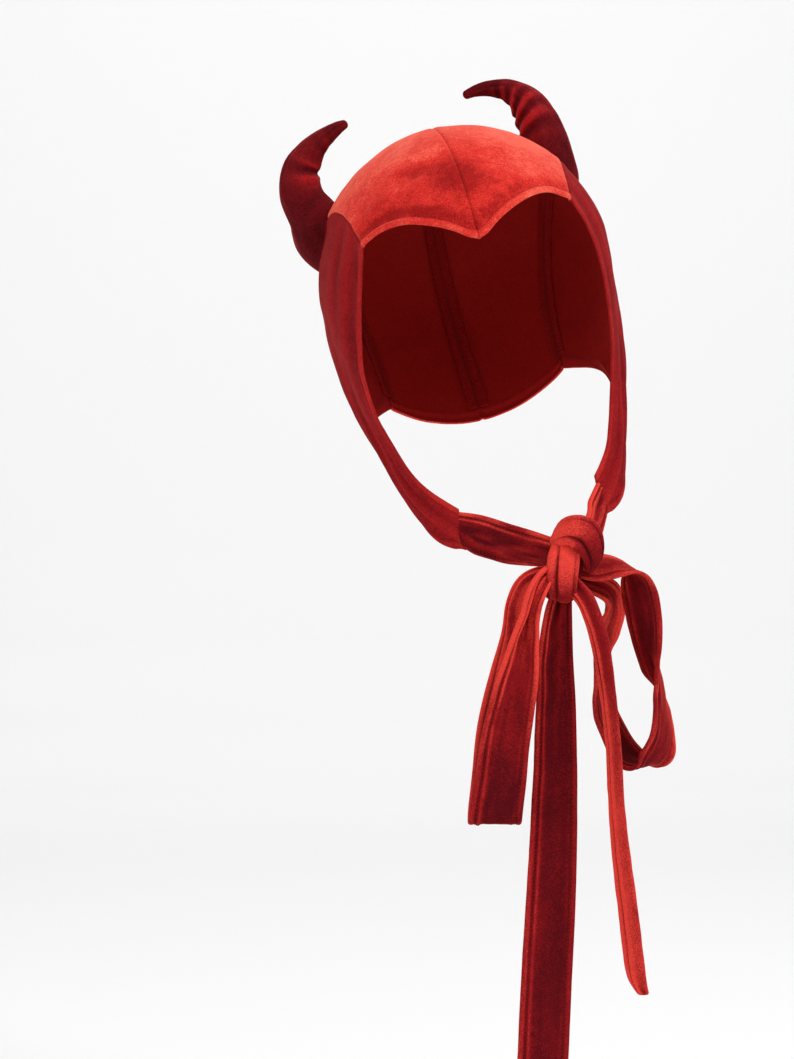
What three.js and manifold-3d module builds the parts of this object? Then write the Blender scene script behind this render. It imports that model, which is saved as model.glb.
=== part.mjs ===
// Horned bonnet: a stretch-velvet hood with a widow's peak, two stuffed horns and a tied bow.
// Millimetres, +Z up, the bonnet faces -Y. The origin is the top of the hollow for the head.
import * as THREE from 'three';
import Module from 'manifold-3d';

const wasm = await Module();
wasm.setup();

// Driving dimensions
const degree = Math.PI / 180;
const clothWall = 2;
const seamGap = 0.5;
const restGap = 0.35;
const hoodLean = 13.5 * degree;
const head = { halfWidth: 77, halfDepth: 93, above: 77.5, below: 136 };
const napeTuck = { share: 0.24, depth: 100 };
const hem = { width: 4, step: 1.2, raise: 0.5 };
const strapThickness = 2.6;
const crownGrid = { rows: 26, columns: 11 };
const sideGrid = { rows: 26, columns: 14 };
const hornGrid = { rings: 26, sides: 14 };
const strapPoints = 5;
const slantRings = 5;
const knotGrid = { rings: 12, sides: 16 };

// The crown and side seam: turn goes over the head from the face, 0, to the back, 180;
// side is the angle from the middle of the head towards the ear. Degrees.
const crownSeam = [
  { turn: 16.7, side: 39.2 },
  { turn: 36, side: 43.5 },
  { turn: 62, side: 50 },
  { turn: 90, side: 54.5 },
  { turn: 130, side: 51 },
  { turn: 180, side: 41 },
  { turn: 224, side: 31 },
];

// The front edge of the crown, from the widow's peak over the arch to the temple
const crownFront = [
  { side: 0, turn: 4.2 },
  { side: 3, turn: 5.4 },
  { side: 6, turn: 7.8 },
  { side: 10, turn: 10.5 },
  { side: 15, turn: 13.3 },
  { side: 20, turn: 15.7 },
  { side: 25, turn: 17.4 },
  { side: 30, turn: 18.1 },
  { side: 35, turn: 17.6 },
  { side: 39.2, turn: 16.7 },
];
const napeTurn = 224;

// Soft dents of the crown, as depth in mm with its reach in degrees
const crownDents = [
  { turn: 34, side: -13, depth: 1.7, reachTurn: 9, reachSide: 8 },
  { turn: 30, side: 12, depth: 1.3, reachTurn: 9, reachSide: 7 },
  { turn: 25, side: -27, depth: 1.2, reachTurn: 4, reachSide: 11 },
  { turn: 60, side: -22, depth: 1.2, reachTurn: 12, reachSide: 9 },
  { turn: 52, side: 30, depth: 1.0, reachTurn: 11, reachSide: 8 },
];

// The face edge of the ear panels, from the temple down to the top of the chin flap
const faceEdge = [
  { z: -58.2, left: 54.8, right: 54.8, y: -64.3 },
  { z: -72, left: 58.4, right: 60.5, y: -60 },
  { z: -89, left: 62.5, right: 64, y: -56 },
  { z: -105, left: 66, right: 64.6, y: -52 },
  { z: -119, left: 67.8, right: 63.2, y: -49 },
  { z: -134, left: 67, right: 61, y: -46 },
  { z: -147, left: 64.6, right: 58, y: -44 },
  { z: -158, left: 61, right: 55, y: -43 },
  { z: -173, left: 55.6, right: 50.2, y: -43 },
  { z: -185, left: 48, right: 45.5, y: -44 },
  { z: -198, left: 36, right: 36.5, y: -46 },
];

// The lower edge of the ear panels, from the nape forward along the jaw to the chin flap
const jawEdge = [
  { way: 0, x: 50, y: 56.5, z: -146 },
  { way: 0.2, x: 62, y: 30, z: -149 },
  { way: 0.38, x: 64.5, y: 8, z: -155 },
  { way: 0.54, x: 62, y: -8, z: -168 },
  { way: 0.7, x: 57.5, y: -20, z: -187 },
  { way: 0.82, x: 53.5, y: -31, z: -203 },
  { way: 0.91, x: 48, y: -39, z: -213.5 },
  { way: 1, x: 37, y: -44, z: -219.5 },
];

// Lengthwise drag folds of the ear panels
const dragFolds = { count: 2.5, height: 1.4, from: 0.3, to: 0.95 };

// The stuffed horns: centre line and half-thickness, in the frame of the hood
const leftHorn = [
  { x: -58, y: 14, z: -46, r: 18.5 },
  { x: -66, y: 14, z: -38, r: 17.5 },
  { x: -70, y: 14, z: -26, r: 13.8 },
  { x: -73.5, y: 14, z: -13, r: 11.5 },
  { x: -71.5, y: 13, z: -2.5, r: 10.2 },
  { x: -66, y: 12, z: 5, r: 8.6 },
  { x: -59.5, y: 11, z: 10.5, r: 6.6 },
  { x: -52.5, y: 10, z: 14, r: 4.7 },
  { x: -46.5, y: 10, z: 16.5, r: 3.5 },
  { x: -42.6, y: 10, z: 17.6, r: 2.6 },
];
const rightHorn = [
  { x: 54, y: 16, z: -46, r: 18.5 },
  { x: 61, y: 16, z: -35, r: 16 },
  { x: 62.6, y: 16, z: -20, r: 14 },
  { x: 62.5, y: 16, z: -8, r: 12.4 },
  { x: 60.3, y: 15, z: 2.5, r: 10.6 },
  { x: 56, y: 14, z: 10.5, r: 8.6 },
  { x: 49, y: 13, z: 16.8, r: 5.9 },
  { x: 40, y: 12, z: 19.6, r: 4.5 },
  { x: 32, y: 12, z: 20, r: 3.3 },
  { x: 26.6, y: 12, z: 19.2, r: 2.5 },
];
const hornCreases = { first: 0.3, last: 0.78, count: 5, depth: 0.07 };

// The knot: upright wrap of the bow, as oval sections from top to bottom
const knotSections = [
  { z: -213, x: 66, y: -66, halfWidth: 4, halfDepth: 4 },
  { z: -216, x: 65, y: -67, halfWidth: 8.5, halfDepth: 8 },
  { z: -223, x: 63.5, y: -69, halfWidth: 10.5, halfDepth: 10.5 },
  { z: -231, x: 62, y: -70, halfWidth: 11, halfDepth: 11.5 },
  { z: -239, x: 60, y: -71, halfWidth: 9.8, halfDepth: 10.5 },
  { z: -245, x: 59, y: -71, halfWidth: 7, halfDepth: 7 },
  { z: -247.5, x: 59, y: -71, halfWidth: 3.5, halfDepth: 3.5 },
];

// Straps, as centre line, direction across (ax, ay, az), width and lengthwise fold in degrees
const knotFoldRoute = [
  { x: 56, y: -80, z: -221, ax: 0.25, ay: 0.55, az: 0.8, width: 15, fold: 12 },
  { x: 62, y: -81, z: -213, ax: -0.1, ay: 0.75, az: 0.65, width: 19, fold: 16 },
  { x: 69.5, y: -80, z: -212, ax: -0.35, ay: 0.8, az: 0.45, width: 20, fold: 18 },
  { x: 75.5, y: -79, z: -219, ax: -0.7, ay: 0.65, az: 0.1, width: 19, fold: 18 },
  { x: 76, y: -80, z: -230, ax: -0.85, ay: 0.5, az: -0.2, width: 15, fold: 14 },
];
const leftTieRoute = [
  { x: 14.1, y: -45.8, z: -211.9, ax: 0.19, ay: 0.05, az: -0.98, width: 21.5, fold: 0 },
  { x: 22.5, y: -48.8, z: -214.8, ax: 0.14, ay: 0.1, az: -0.98, width: 21.5, fold: 4 },
  { x: 34, y: -56, z: -218.9, ax: 0.1, ay: 0.25, az: -0.95, width: 22, fold: 10 },
  { x: 46, y: -63, z: -222.5, ax: 0.1, ay: 0.4, az: -0.88, width: 21, fold: 20 },
  { x: 60, y: -69, z: -226, ax: 0.1, ay: 0.5, az: -0.8, width: 18, fold: 34 },
];
const rightTieRoute = [
  { x: 84.4, y: -46.9, z: -196.4, ax: 0.32, ay: 0.2, az: -0.92, width: 18, fold: 0 },
  { x: 80, y: -53, z: -204, ax: 0.4, ay: 0.45, az: -0.8, width: 19, fold: 12 },
  { x: 75, y: -61, z: -212, ax: 0.5, ay: 0.6, az: -0.62, width: 17, fold: 22 },
  { x: 68.5, y: -65.5, z: -218.5, ax: 0.6, ay: 0.6, az: -0.5, width: 13, fold: 30 },
];
const leftLoopRoute = [
  { x: 61, y: -75, z: -233, ax: 0.3, ay: 0.2, az: -0.9, width: 14, fold: 30 },
  { x: 49, y: -82, z: -234.5, ax: 0.35, ay: 0.1, az: -0.93, width: 15, fold: 34 },
  { x: 40.5, y: -84.5, z: -241, ax: 0.75, ay: 0, az: -0.66, width: 18, fold: 30 },
  { x: 37, y: -84.5, z: -255, ax: 0.98, ay: 0, az: -0.2, width: 19, fold: 24 },
  { x: 36, y: -84, z: -275, ax: 1, ay: 0, az: 0, width: 22, fold: 14 },
  { x: 33, y: -83.5, z: -300, ax: 1, ay: 0, az: 0, width: 24.5, fold: 5 },
  { x: 28, y: -83, z: -335, ax: 1, ay: 0, az: 0, width: 25, fold: 2 },
  { x: 26, y: -82, z: -353, ax: 1, ay: 0, az: 0, width: 25.5, fold: 0 },
  { x: 25.2, y: -78, z: -358.2, ax: 1, ay: 0, az: 0, width: 26, fold: 0 },
  { x: 25, y: -74.2, z: -353, ax: 1, ay: 0, az: 0, width: 26, fold: 0 },
  { x: 26.5, y: -73, z: -335, ax: 1, ay: 0, az: 0, width: 25, fold: 0 },
  { x: 31, y: -72.5, z: -300, ax: 1, ay: 0, az: 0, width: 23, fold: 0 },
  { x: 35, y: -73, z: -272, ax: 1, ay: 0, az: 0.1, width: 20, fold: 4 },
  { x: 39, y: -74, z: -254, ax: 0.9, ay: 0, az: -0.4, width: 15, fold: 10 },
  { x: 46, y: -74, z: -245, ax: 0.6, ay: 0, az: -0.8, width: 10, fold: 14 },
  { x: 57, y: -73, z: -238, ax: 0.5, ay: 0, az: -0.85, width: 9, fold: 14 },
];
const rightLoopRoute = [
  { x: 66, y: -73, z: -229, ax: 0, ay: -0.55, az: -0.8, width: 12, fold: 12 },
  { x: 78, y: -72.5, z: -230.5, ax: 0, ay: -0.75, az: -0.66, width: 19, fold: 8 },
  { x: 91, y: -72, z: -231, ax: 0.05, ay: -0.84, az: -0.5, width: 25, fold: 6 },
  { x: 100.5, y: -72, z: -237.5, ax: 0.35, ay: -0.9, az: -0.25, width: 25, fold: 4 },
  { x: 104.6, y: -72, z: -256, ax: 0.45, ay: -0.88, az: 0, width: 25, fold: 4 },
  { x: 108.6, y: -72, z: -284, ax: 0.22, ay: -0.97, az: 0, width: 25, fold: 6 },
  { x: 112.6, y: -71, z: -304, ax: -0.32, ay: -0.94, az: 0.1, width: 25, fold: 8 },
  { x: 114.8, y: -70, z: -320, ax: -0.55, ay: -0.8, az: 0.25, width: 25, fold: 8 },
  { x: 110.5, y: -69, z: -328.4, ax: -0.3, ay: -0.85, az: 0.45, width: 25, fold: 6 },
  { x: 101.5, y: -66.5, z: -328.8, ax: 0, ay: -0.95, az: 0.25, width: 25, fold: 4 },
  { x: 93.5, y: -63, z: -318, ax: -0.3, ay: -0.95, az: 0.05, width: 25, fold: 4 },
  { x: 87, y: -60, z: -300, ax: -0.45, ay: -0.88, az: 0, width: 25, fold: 6 },
  { x: 84.6, y: -58, z: -280, ax: -0.5, ay: -0.86, az: 0, width: 24, fold: 8 },
  { x: 88.5, y: -57.5, z: -262, ax: -0.4, ay: -0.85, az: -0.3, width: 22, fold: 12 },
  { x: 87.6, y: -60, z: -249, ax: 0.2, ay: -0.7, az: -0.7, width: 18, fold: 18 },
  { x: 78, y: -65, z: -240.5, ax: 0.3, ay: -0.4, az: -0.85, width: 14, fold: 24 },
  { x: 66, y: -69, z: -236, ax: 0.2, ay: -0.2, az: -0.95, width: 10, fold: 24 },
];
const longTailRoute = [
  { x: 60.5, y: -70, z: -243, ax: 1, ay: 0, az: 0, width: 12, fold: 30 },
  { x: 58.4, y: -71, z: -256, ax: 1, ay: 0, az: 0, width: 16, fold: 24 },
  { x: 57, y: -71, z: -276, ax: 1, ay: 0.1, az: 0, width: 19, fold: 16 },
  { x: 57.4, y: -70.5, z: -304, ax: 1, ay: 0.15, az: 0, width: 21.5, fold: 10 },
  { x: 57, y: -70, z: -350, ax: 1, ay: 0.12, az: 0, width: 24, fold: 6 },
  { x: 55.4, y: -70, z: -395, ax: 1, ay: 0.05, az: 0, width: 25.5, fold: 3 },
  { x: 53, y: -70, z: -440, ax: 1, ay: 0, az: 0, width: 26, fold: 2 },
  { x: 50.4, y: -70, z: -500, ax: 1, ay: 0, az: 0, width: 26, fold: 0 },
];
const shortTailRoute = [
  { x: 63.5, y: -78, z: -236, ax: 0.8, ay: 0.2, az: 0.5, width: 13, fold: -44 },
  { x: 70.6, y: -86, z: -246, ax: 0.86, ay: 0.1, az: 0.5, width: 17, fold: -52 },
  { x: 77, y: -88.5, z: -263, ax: 0.93, ay: 0.05, az: 0.3, width: 21, fold: -62 },
  { x: 82, y: -89, z: -285, ax: 0.98, ay: 0, az: 0.15, width: 24, fold: -69 },
  { x: 85.2, y: -89, z: -315, ax: 1, ay: 0, az: 0.1, width: 25, fold: -72 },
  { x: 88.6, y: -89, z: -368, ax: 1, ay: 0, az: 0.05, width: 25, fold: -67 },
  { x: 93.6, y: -89, z: -408, ax: 1, ay: 0, az: 0.1, width: 25, fold: -62 },
  { x: 99.4, y: -89, z: -440, ax: 1, ay: 0, az: 0.15, width: 24, fold: -60 },
];

const velvet = {
  crown: new THREE.MeshStandardMaterial({ color: 0xc8291e, roughness: 0.9, metalness: 0 }),
  side: new THREE.MeshStandardMaterial({ color: 0x9c1f1a, roughness: 0.9, metalness: 0 }),
  horn: new THREE.MeshStandardMaterial({ color: 0x7d0b16, roughness: 0.92, metalness: 0 }),
  strap: new THREE.MeshStandardMaterial({ color: 0x8f161a, roughness: 0.9, metalness: 0 }),
};

// Smooth value of one column of a table, at a place along another column
function columnAt(rows, by, column, at) {
  const last = rows.length - 1;
  let i = 0;
  while (i < last - 1 && at > rows[i + 1][by]) i += 1;
  const slope = (k) => {
    const before = rows[Math.max(k - 1, 0)];
    const after = rows[Math.min(k + 1, last)];
    return (after[column] - before[column]) / (after[by] - before[by]);
  };
  const span = rows[i + 1][by] - rows[i][by];
  const t = THREE.MathUtils.clamp((at - rows[i][by]) / span, 0, 1);
  const ease = t * t * (3 - 2 * t);
  const lead = t * (1 - t) * (1 - t) * span * slope(i);
  const tail = t * t * (t - 1) * span * slope(i + 1);
  return rows[i][column] * (1 - ease) + rows[i + 1][column] * ease + lead + tail;
}

// A direction from the centre of the head, from the two angles of the hood
function headDirection(turn, side) {
  const across = Math.cos(side);
  return new THREE.Vector3(Math.sin(side), -Math.cos(turn) * across, Math.sin(turn) * across);
}

// Distance from the centre of the head to the cloth that lies `off` above it
function headRadius(direction, off) {
  const tall = direction.z > 0 ? head.above : head.below;
  const x = direction.x / (head.halfWidth + off);
  const y = direction.y / (head.halfDepth + off);
  return 1 / Math.hypot(x, y, direction.z / (tall + off));
}

// The nape is drawn in below the widest part of the head
function napeScale(z) {
  return 1 - napeTuck.share * THREE.MathUtils.smoothstep(-z, 0, napeTuck.depth);
}

function fromCentre(point) {
  const y = point.y > 0 ? point.y * napeScale(point.z) : point.y;
  return new THREE.Vector3(point.x, y, point.z - head.above);
}

function toCentre(point) {
  const z = point.z + head.above;
  const y = point.y > 0 ? point.y / napeScale(z) : point.y;
  return new THREE.Vector3(point.x, y, z);
}

function hoodPoint(turn, side, off) {
  const direction = headDirection(turn, side);
  return fromCentre(direction.multiplyScalar(headRadius(direction, off)));
}

function bell(distance, reach) {
  return Math.exp(-((distance / reach) ** 2));
}

function dentAt(turn, side) {
  let depth = 0;
  for (const dent of crownDents) {
    const over = bell(turn - dent.turn, dent.reachTurn);
    depth += dent.depth * over * bell(side - dent.side, dent.reachSide);
  }
  return depth;
}

// A body whose faces point out, from shared points and triangles
function closedBody(points, triangles) {
  let volume = 0;
  for (const [a, b, c] of triangles) volume += points[a].dot(points[b].clone().cross(points[c]));
  const faces = volume < 0 ? triangles.map(([a, b, c]) => [a, c, b]) : triangles;
  const geometry = new THREE.BufferGeometry();
  geometry.setFromPoints(points);
  geometry.setIndex(faces.flat());
  return geometry;
}

function quad(a, b, c, d) {
  return [[a, b, c], [a, c, d]];
}

// A cloth wall around a grid of middle points; raise(i, j) lifts the outside, as a hem does
function clothBody(grid, raise) {
  const rows = grid.length;
  const columns = grid[0].length;
  const outer = [];
  const inner = [];
  for (let i = 0; i < rows; i += 1) {
    for (let j = 0; j < columns; j += 1) {
      const down = grid[Math.min(i + 1, rows - 1)][j].clone().sub(grid[Math.max(i - 1, 0)][j]);
      const over = grid[i][Math.min(j + 1, columns - 1)].clone().sub(grid[i][Math.max(j - 1, 0)]);
      const out = down.cross(over).normalize();
      const middle = grid[i][j].clone().add(new THREE.Vector3(0, 0, head.above));
      if (out.dot(middle) < 0) out.negate();
      outer.push(grid[i][j].clone().addScaledVector(out, clothWall / 2 + raise(i, j)));
      inner.push(grid[i][j].clone().addScaledVector(out, -clothWall / 2));
    }
  }
  const count = rows * columns;
  const triangles = [];
  for (let i = 0; i < rows - 1; i += 1) {
    for (let j = 0; j < columns - 1; j += 1) {
      const a = i * columns + j;
      triangles.push(...quad(a, a + 1, a + columns + 1, a + columns));
      triangles.push(...quad(a + count, a + columns + count, a + columns + 1 + count, a + 1 + count));
    }
  }
  const rim = [];
  for (let j = 0; j < columns - 1; j += 1) rim.push(j);
  for (let i = 0; i < rows - 1; i += 1) rim.push(i * columns + columns - 1);
  for (let j = columns - 1; j > 0; j -= 1) rim.push((rows - 1) * columns + j);
  for (let i = rows - 1; i > 0; i -= 1) rim.push(i * columns);
  rim.forEach((a, k) => {
    const b = rim[(k + 1) % rim.length];
    triangles.push(...quad(a, a + count, b + count, b));
  });
  return closedBody([...outer, ...inner], triangles);
}

// Places across a hemmed panel: the edge, the hem's width, its step, then even spacing
function hemmedPlaces(columns, length) {
  const edge = [0, hem.width / length, (hem.width + hem.step) / length];
  const rest = columns - edge.length;
  const even = Array.from({ length: rest }, (_, k) => edge[2] + ((1 - edge[2]) * (k + 1)) / rest);
  return [...edge, ...even];
}

// One crown panel, from the centre seam to the side seam and from the face to the nape
function crownPanel(hand) {
  const inset = (seamGap / 2 / head.halfWidth) / degree;
  const grid = [];
  const along = hemmedPlaces(crownGrid.rows, Math.PI * head.halfDepth);
  for (const place of along) {
    const row = [];
    for (let j = 0; j < crownGrid.columns; j += 1) {
      const share = j / (crownGrid.columns - 1);
      const frontSide = crownSeam[0].side * share;
      const start = columnAt(crownFront, 'side', 'turn', frontSide);
      const turn = start + (napeTurn - start) * place;
      const seamSide = columnAt(crownSeam, 'turn', 'side', Math.max(turn, crownSeam[0].turn));
      const side = inset + (seamSide - 2 * inset) * share;
      const off = clothWall / 2 - dentAt(turn, hand * side);
      row.push(hoodPoint(turn * degree, hand * side * degree, off));
    }
    grid.push(row);
  }
  return clothBody(grid, (i) => (i < 2 ? hem.raise : 0));
}

// One ear panel, spanned between the crown seam, the face edge, the jaw edge and the tie seam
function sidePanel(hand) {
  const face = hand < 0 ? 'left' : 'right';
  const first = crownSeam[0].turn;
  const inset = (seamGap / 2 / head.halfWidth) / degree;
  const seamAt = (u) => {
    const turn = first + (napeTurn - first) * u;
    const side = columnAt(crownSeam, 'turn', 'side', turn) + inset;
    const direction = headDirection(turn * degree, hand * side * degree);
    return direction.multiplyScalar(headRadius(direction, clothWall / 2));
  };
  const faceAt = (v) => {
    const place = v * (faceEdge.length - 1);
    const rows = faceEdge.map((row, index) => ({ ...row, index }));
    const value = (column) => columnAt(rows, 'index', column, place);
    return toCentre(new THREE.Vector3(hand * value(face), value('y'), value('z')));
  };
  const jawAt = (v) => {
    const value = (column) => columnAt(jawEdge, 'way', column, v);
    return toCentre(new THREE.Vector3(hand * value('x'), value('y'), value('z')));
  };
  const chinAt = (u) => faceAt(1).lerp(jawAt(1), u);
  const corners = { start: seamAt(0), end: seamAt(1), faceEnd: faceAt(1), jawEnd: jawAt(1) };
  const pull = { start: faceAt(0).sub(corners.start), end: jawAt(0).sub(corners.end) };
  const spanned = (read, u, v) => {
    const edges = read(seamAt(u)) * (1 - v) + read(chinAt(u)) * v
      + read(faceAt(v).addScaledVector(pull.start, v - 1)) * (1 - u)
      + read(jawAt(v).addScaledVector(pull.end, v - 1)) * u;
    const ends = read(corners.start) * (1 - u) * (1 - v) + read(corners.end) * u * (1 - v)
      + read(corners.faceEnd) * (1 - u) * v + read(corners.jawEnd) * u * v;
    return edges - ends;
  };
  const lift = (point) => point.length() / headRadius(point.clone().normalize(), clothWall / 2);
  const grid = [];
  for (let i = 0; i < sideGrid.rows; i += 1) {
    const v = i / (sideGrid.rows - 1);
    const width = THREE.MathUtils.lerp(290, 24, Math.sqrt(v));
    const row = hemmedPlaces(sideGrid.columns, width).map((u) => {
      const x = spanned((p) => p.x, u, v);
      const y = spanned((p) => p.y, u, v);
      const z = spanned((p) => p.z, u, v);
      const direction = new THREE.Vector3(x, y, z).normalize();
      const reach = Math.sin(Math.PI * THREE.MathUtils.clamp((v - dragFolds.from)
        / (dragFolds.to - dragFolds.from), 0, 1));
      const fold = Math.sin(2 * Math.PI * dragFolds.count * u) * Math.sin(Math.PI * u);
      const radius = headRadius(direction, clothWall / 2) * spanned(lift, u, v);
      return fromCentre(direction.multiplyScalar(radius + dragFolds.height * reach * fold));
    });
    grid.push(row);
  }
  return clothBody(grid, (i, j) => (j < 2 ? hem.raise : 0));
}

// A body lofted through closed rings, with a middle point on each end
function loftedBody(rings, startPole, endPole) {
  const sides = rings[0].length;
  const points = [...rings.flat(), startPole, endPole];
  const start = points.length - 2;
  const end = points.length - 1;
  const last = (rings.length - 1) * sides;
  const triangles = [];
  for (let k = 0; k < sides; k += 1) {
    const next = (k + 1) % sides;
    for (let i = 0; i < rings.length - 1; i += 1) {
      const a = i * sides;
      triangles.push(...quad(a + k, a + next, a + sides + next, a + sides + k));
    }
    triangles.push([start, next, k], [end, last + k, last + next]);
  }
  return closedBody(points, triangles);
}

// Rows of a table at even steps, with every column made smooth
function smoothRows(rows, steps) {
  const indexed = rows.map((row, index) => ({ ...row, index }));
  return Array.from({ length: steps }, (_, k) => {
    const at = (k / (steps - 1)) * (rows.length - 1);
    const names = Object.keys(rows[0]);
    return Object.fromEntries(names.map((name) => [name, columnAt(indexed, 'index', name, at)]));
  });
}

function placeOf(row) {
  return new THREE.Vector3(row.x, row.y, row.z);
}

function headingAt(rows, k) {
  const after = placeOf(rows[Math.min(k + 1, rows.length - 1)]);
  return after.sub(placeOf(rows[Math.max(k - 1, 0)])).normalize();
}

// A stuffed horn: round sections along its centre line, pinched by creases on the inner curve
function hornBody(route, hand) {
  const rows = smoothRows(route, hornGrid.rings);
  const rings = rows.map((row, k) => {
    const heading = headingAt(rows, k);
    const depth = new THREE.Vector3(0, 1, 0);
    const inward = heading.clone().cross(depth).normalize().multiplyScalar(hand);
    const share = k / (rows.length - 1);
    const { first, last, count } = hornCreases;
    const creased = share > first && share < last;
    const wave = Math.cos((2 * Math.PI * count * (share - first)) / (last - first));
    const pinch = creased ? hornCreases.depth * 0.5 * (1 - wave) : 0;
    return Array.from({ length: hornGrid.sides }, (_, s) => {
      const angle = (2 * Math.PI * s) / hornGrid.sides;
      const towardsInside = Math.max(Math.cos(angle), 0);
      const radius = row.r * (1 - pinch * towardsInside);
      const point = placeOf(row).addScaledVector(inward, radius * Math.cos(angle));
      return point.addScaledVector(depth, radius * Math.sin(angle));
    });
  });
  const tipHeading = headingAt(rows, rows.length - 1);
  const tip = rows[rows.length - 1];
  const tipPole = placeOf(tip).addScaledVector(tipHeading, tip.r * 0.8);
  return loftedBody(rings, placeOf(rows[0]), tipPole);
}

// A flat strap of two layers along a route, folded lengthwise about its middle. Its first end
// is cut square to the route, or slanted along the table's own direction across.
function strapBody(route, stepsEach, grow = 0, slanted = false) {
  const rows = smoothRows(route, (route.length - 1) * stepsEach + 1);
  const rings = rows.map((row, k) => {
    const heading = headingAt(rows, k);
    const across = new THREE.Vector3(row.ax, row.ay, row.az);
    const square = slanted ? Math.min(k / slantRings, 1) : 1;
    across.addScaledVector(heading, -across.dot(heading) * square).normalize();
    const face = heading.clone().cross(across).normalize();
    const bend = row.fold * degree;
    const ends = { 0: -grow, [rows.length - 1]: grow };
    const centre = placeOf(row).addScaledVector(heading, ends[k] ?? 0);
    const side = (sign) => Array.from({ length: strapPoints }, (_, s) => {
      const share = (2 * s) / (strapPoints - 1) - 1;
      const half = row.width / 2 + grow;
      const lean = Math.sign(share) * bend;
      const out = centre.clone().addScaledVector(across, share * half * Math.cos(bend));
      out.addScaledVector(face, Math.abs(share) * half * Math.sin(bend));
      const thick = sign * (strapThickness / 2 + grow);
      out.addScaledVector(face, thick * Math.cos(lean));
      return out.addScaledVector(across, -thick * Math.sin(lean));
    });
    return [...side(1), ...side(-1).reverse()];
  });
  const pole = (ring) => ring[2].clone().add(ring[ring.length - 3]).multiplyScalar(0.5);
  return loftedBody(rings, pole(rings[0]), pole(rings[rings.length - 1]));
}

// The upright wrap of the knot, as oval rings
function knotBody(grow = 0) {
  const rows = smoothRows(knotSections, knotGrid.rings);
  const rings = rows.map((row) => Array.from({ length: knotGrid.sides }, (_, s) => {
    const angle = (2 * Math.PI * s) / knotGrid.sides;
    const x = row.x + (row.halfWidth + grow) * Math.cos(angle);
    const y = row.y + (row.halfDepth + grow) * Math.sin(angle);
    return new THREE.Vector3(x, y, row.z);
  }));
  const up = new THREE.Vector3(0, 0, 1.5 + grow);
  const top = placeOf(rows[0]).add(up);
  return loftedBody(rings, top, placeOf(rows[rows.length - 1]).sub(up));
}

// The outside of the hood as a plain filled form, to trim what stands on it
function headForm(off) {
  const geometry = new THREE.SphereGeometry(1, 64, 40);
  const corners = geometry.attributes.position;
  for (let i = 0; i < corners.count; i += 1) {
    const direction = new THREE.Vector3().fromBufferAttribute(corners, i).normalize();
    const point = fromCentre(direction.multiplyScalar(headRadius(direction, off)));
    corners.setXYZ(i, point.x, point.y, point.z);
  }
  return geometry;
}

// Solids for cutting: shared corners merged, then cut and turned back into a mesh
function toSolid(geometry) {
  const corners = geometry.attributes.position;
  const index = geometry.index.array;
  const seen = new Map();
  const vertices = [];
  const renamed = Array.from({ length: corners.count }, (_, i) => {
    const place = [corners.getX(i), corners.getY(i), corners.getZ(i)];
    const key = place.map((value) => Math.round(value * 1e4)).join();
    if (!seen.has(key)) {
      seen.set(key, seen.size);
      vertices.push(...place);
    }
    return seen.get(key);
  });
  const faces = [];
  for (let i = 0; i < index.length; i += 3) {
    const [a, b, c] = [renamed[index[i]], renamed[index[i + 1]], renamed[index[i + 2]]];
    if (a !== b && b !== c && c !== a) faces.push(a, b, c);
  }
  return new wasm.Manifold(new wasm.Mesh({
    numProp: 3,
    vertProperties: new Float32Array(vertices),
    triVerts: new Uint32Array(faces),
  }));
}

function trimmed(geometry, cutters) {
  let solid = toSolid(geometry);
  for (const cutter of cutters) solid = solid.subtract(cutter);
  const mesh = solid.getMesh();
  const result = new THREE.BufferGeometry();
  result.setAttribute('position', new THREE.BufferAttribute(mesh.vertProperties, 3));
  result.setIndex(new THREE.BufferAttribute(mesh.triVerts, 1));
  return result;
}

function piece(name, geometry, material) {
  const mesh = new THREE.Mesh(geometry, material);
  mesh.name = name;
  return mesh;
}

// The hood leans to one side as it was worn; the bow hangs plumb
const hood = new THREE.Group();
hood.rotation.y = -hoodLean;
hood.add(piece('crown_left', crownPanel(-1), velvet.crown));
hood.add(piece('crown_right', crownPanel(1), velvet.crown));
hood.add(piece('side_left', sidePanel(-1), velvet.side));
hood.add(piece('side_right', sidePanel(1), velvet.side));

const hoodForm = toSolid(headForm(clothWall + restGap));
hood.add(piece('horn_left', trimmed(hornBody(leftHorn, -1), [hoodForm]), velvet.horn));
hood.add(piece('horn_right', trimmed(hornBody(rightHorn, 1), [hoodForm]), velvet.horn));

const bow = new THREE.Group();
const knotCutter = toSolid(knotBody(restGap));
const foldCutter = toSolid(strapBody(knotFoldRoute, 4, restGap));
bow.add(piece('knot', knotBody(), velvet.strap));
bow.add(piece('knot_fold', trimmed(strapBody(knotFoldRoute, 4), [knotCutter]), velvet.strap));
const straps = [
  { name: 'tie_left', route: leftTieRoute, steps: 4, slanted: true },
  { name: 'tie_right', route: rightTieRoute, steps: 4, slanted: true },
  { name: 'loop_left', route: leftLoopRoute, steps: 3 },
  { name: 'loop_right', route: rightLoopRoute, steps: 3 },
  { name: 'tail_long', route: longTailRoute, steps: 4 },
  { name: 'tail_short', route: shortTailRoute, steps: 4 },
];
for (const { name, route, steps, slanted } of straps) {
  const body = trimmed(strapBody(route, steps, 0, slanted), [knotCutter, foldCutter]);
  bow.add(piece(name, body, velvet.strap));
}

const bonnet = new THREE.Group();
bonnet.add(hood, bow);

export default bonnet;
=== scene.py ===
# A horned bonnet of stretch velvet, held up as it is worn, with its bow hanging plumb.
import math

import bmesh
import bpy
from mathutils import Matrix, Vector, noise
from mathutils.bvhtree import BVHTree


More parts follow.
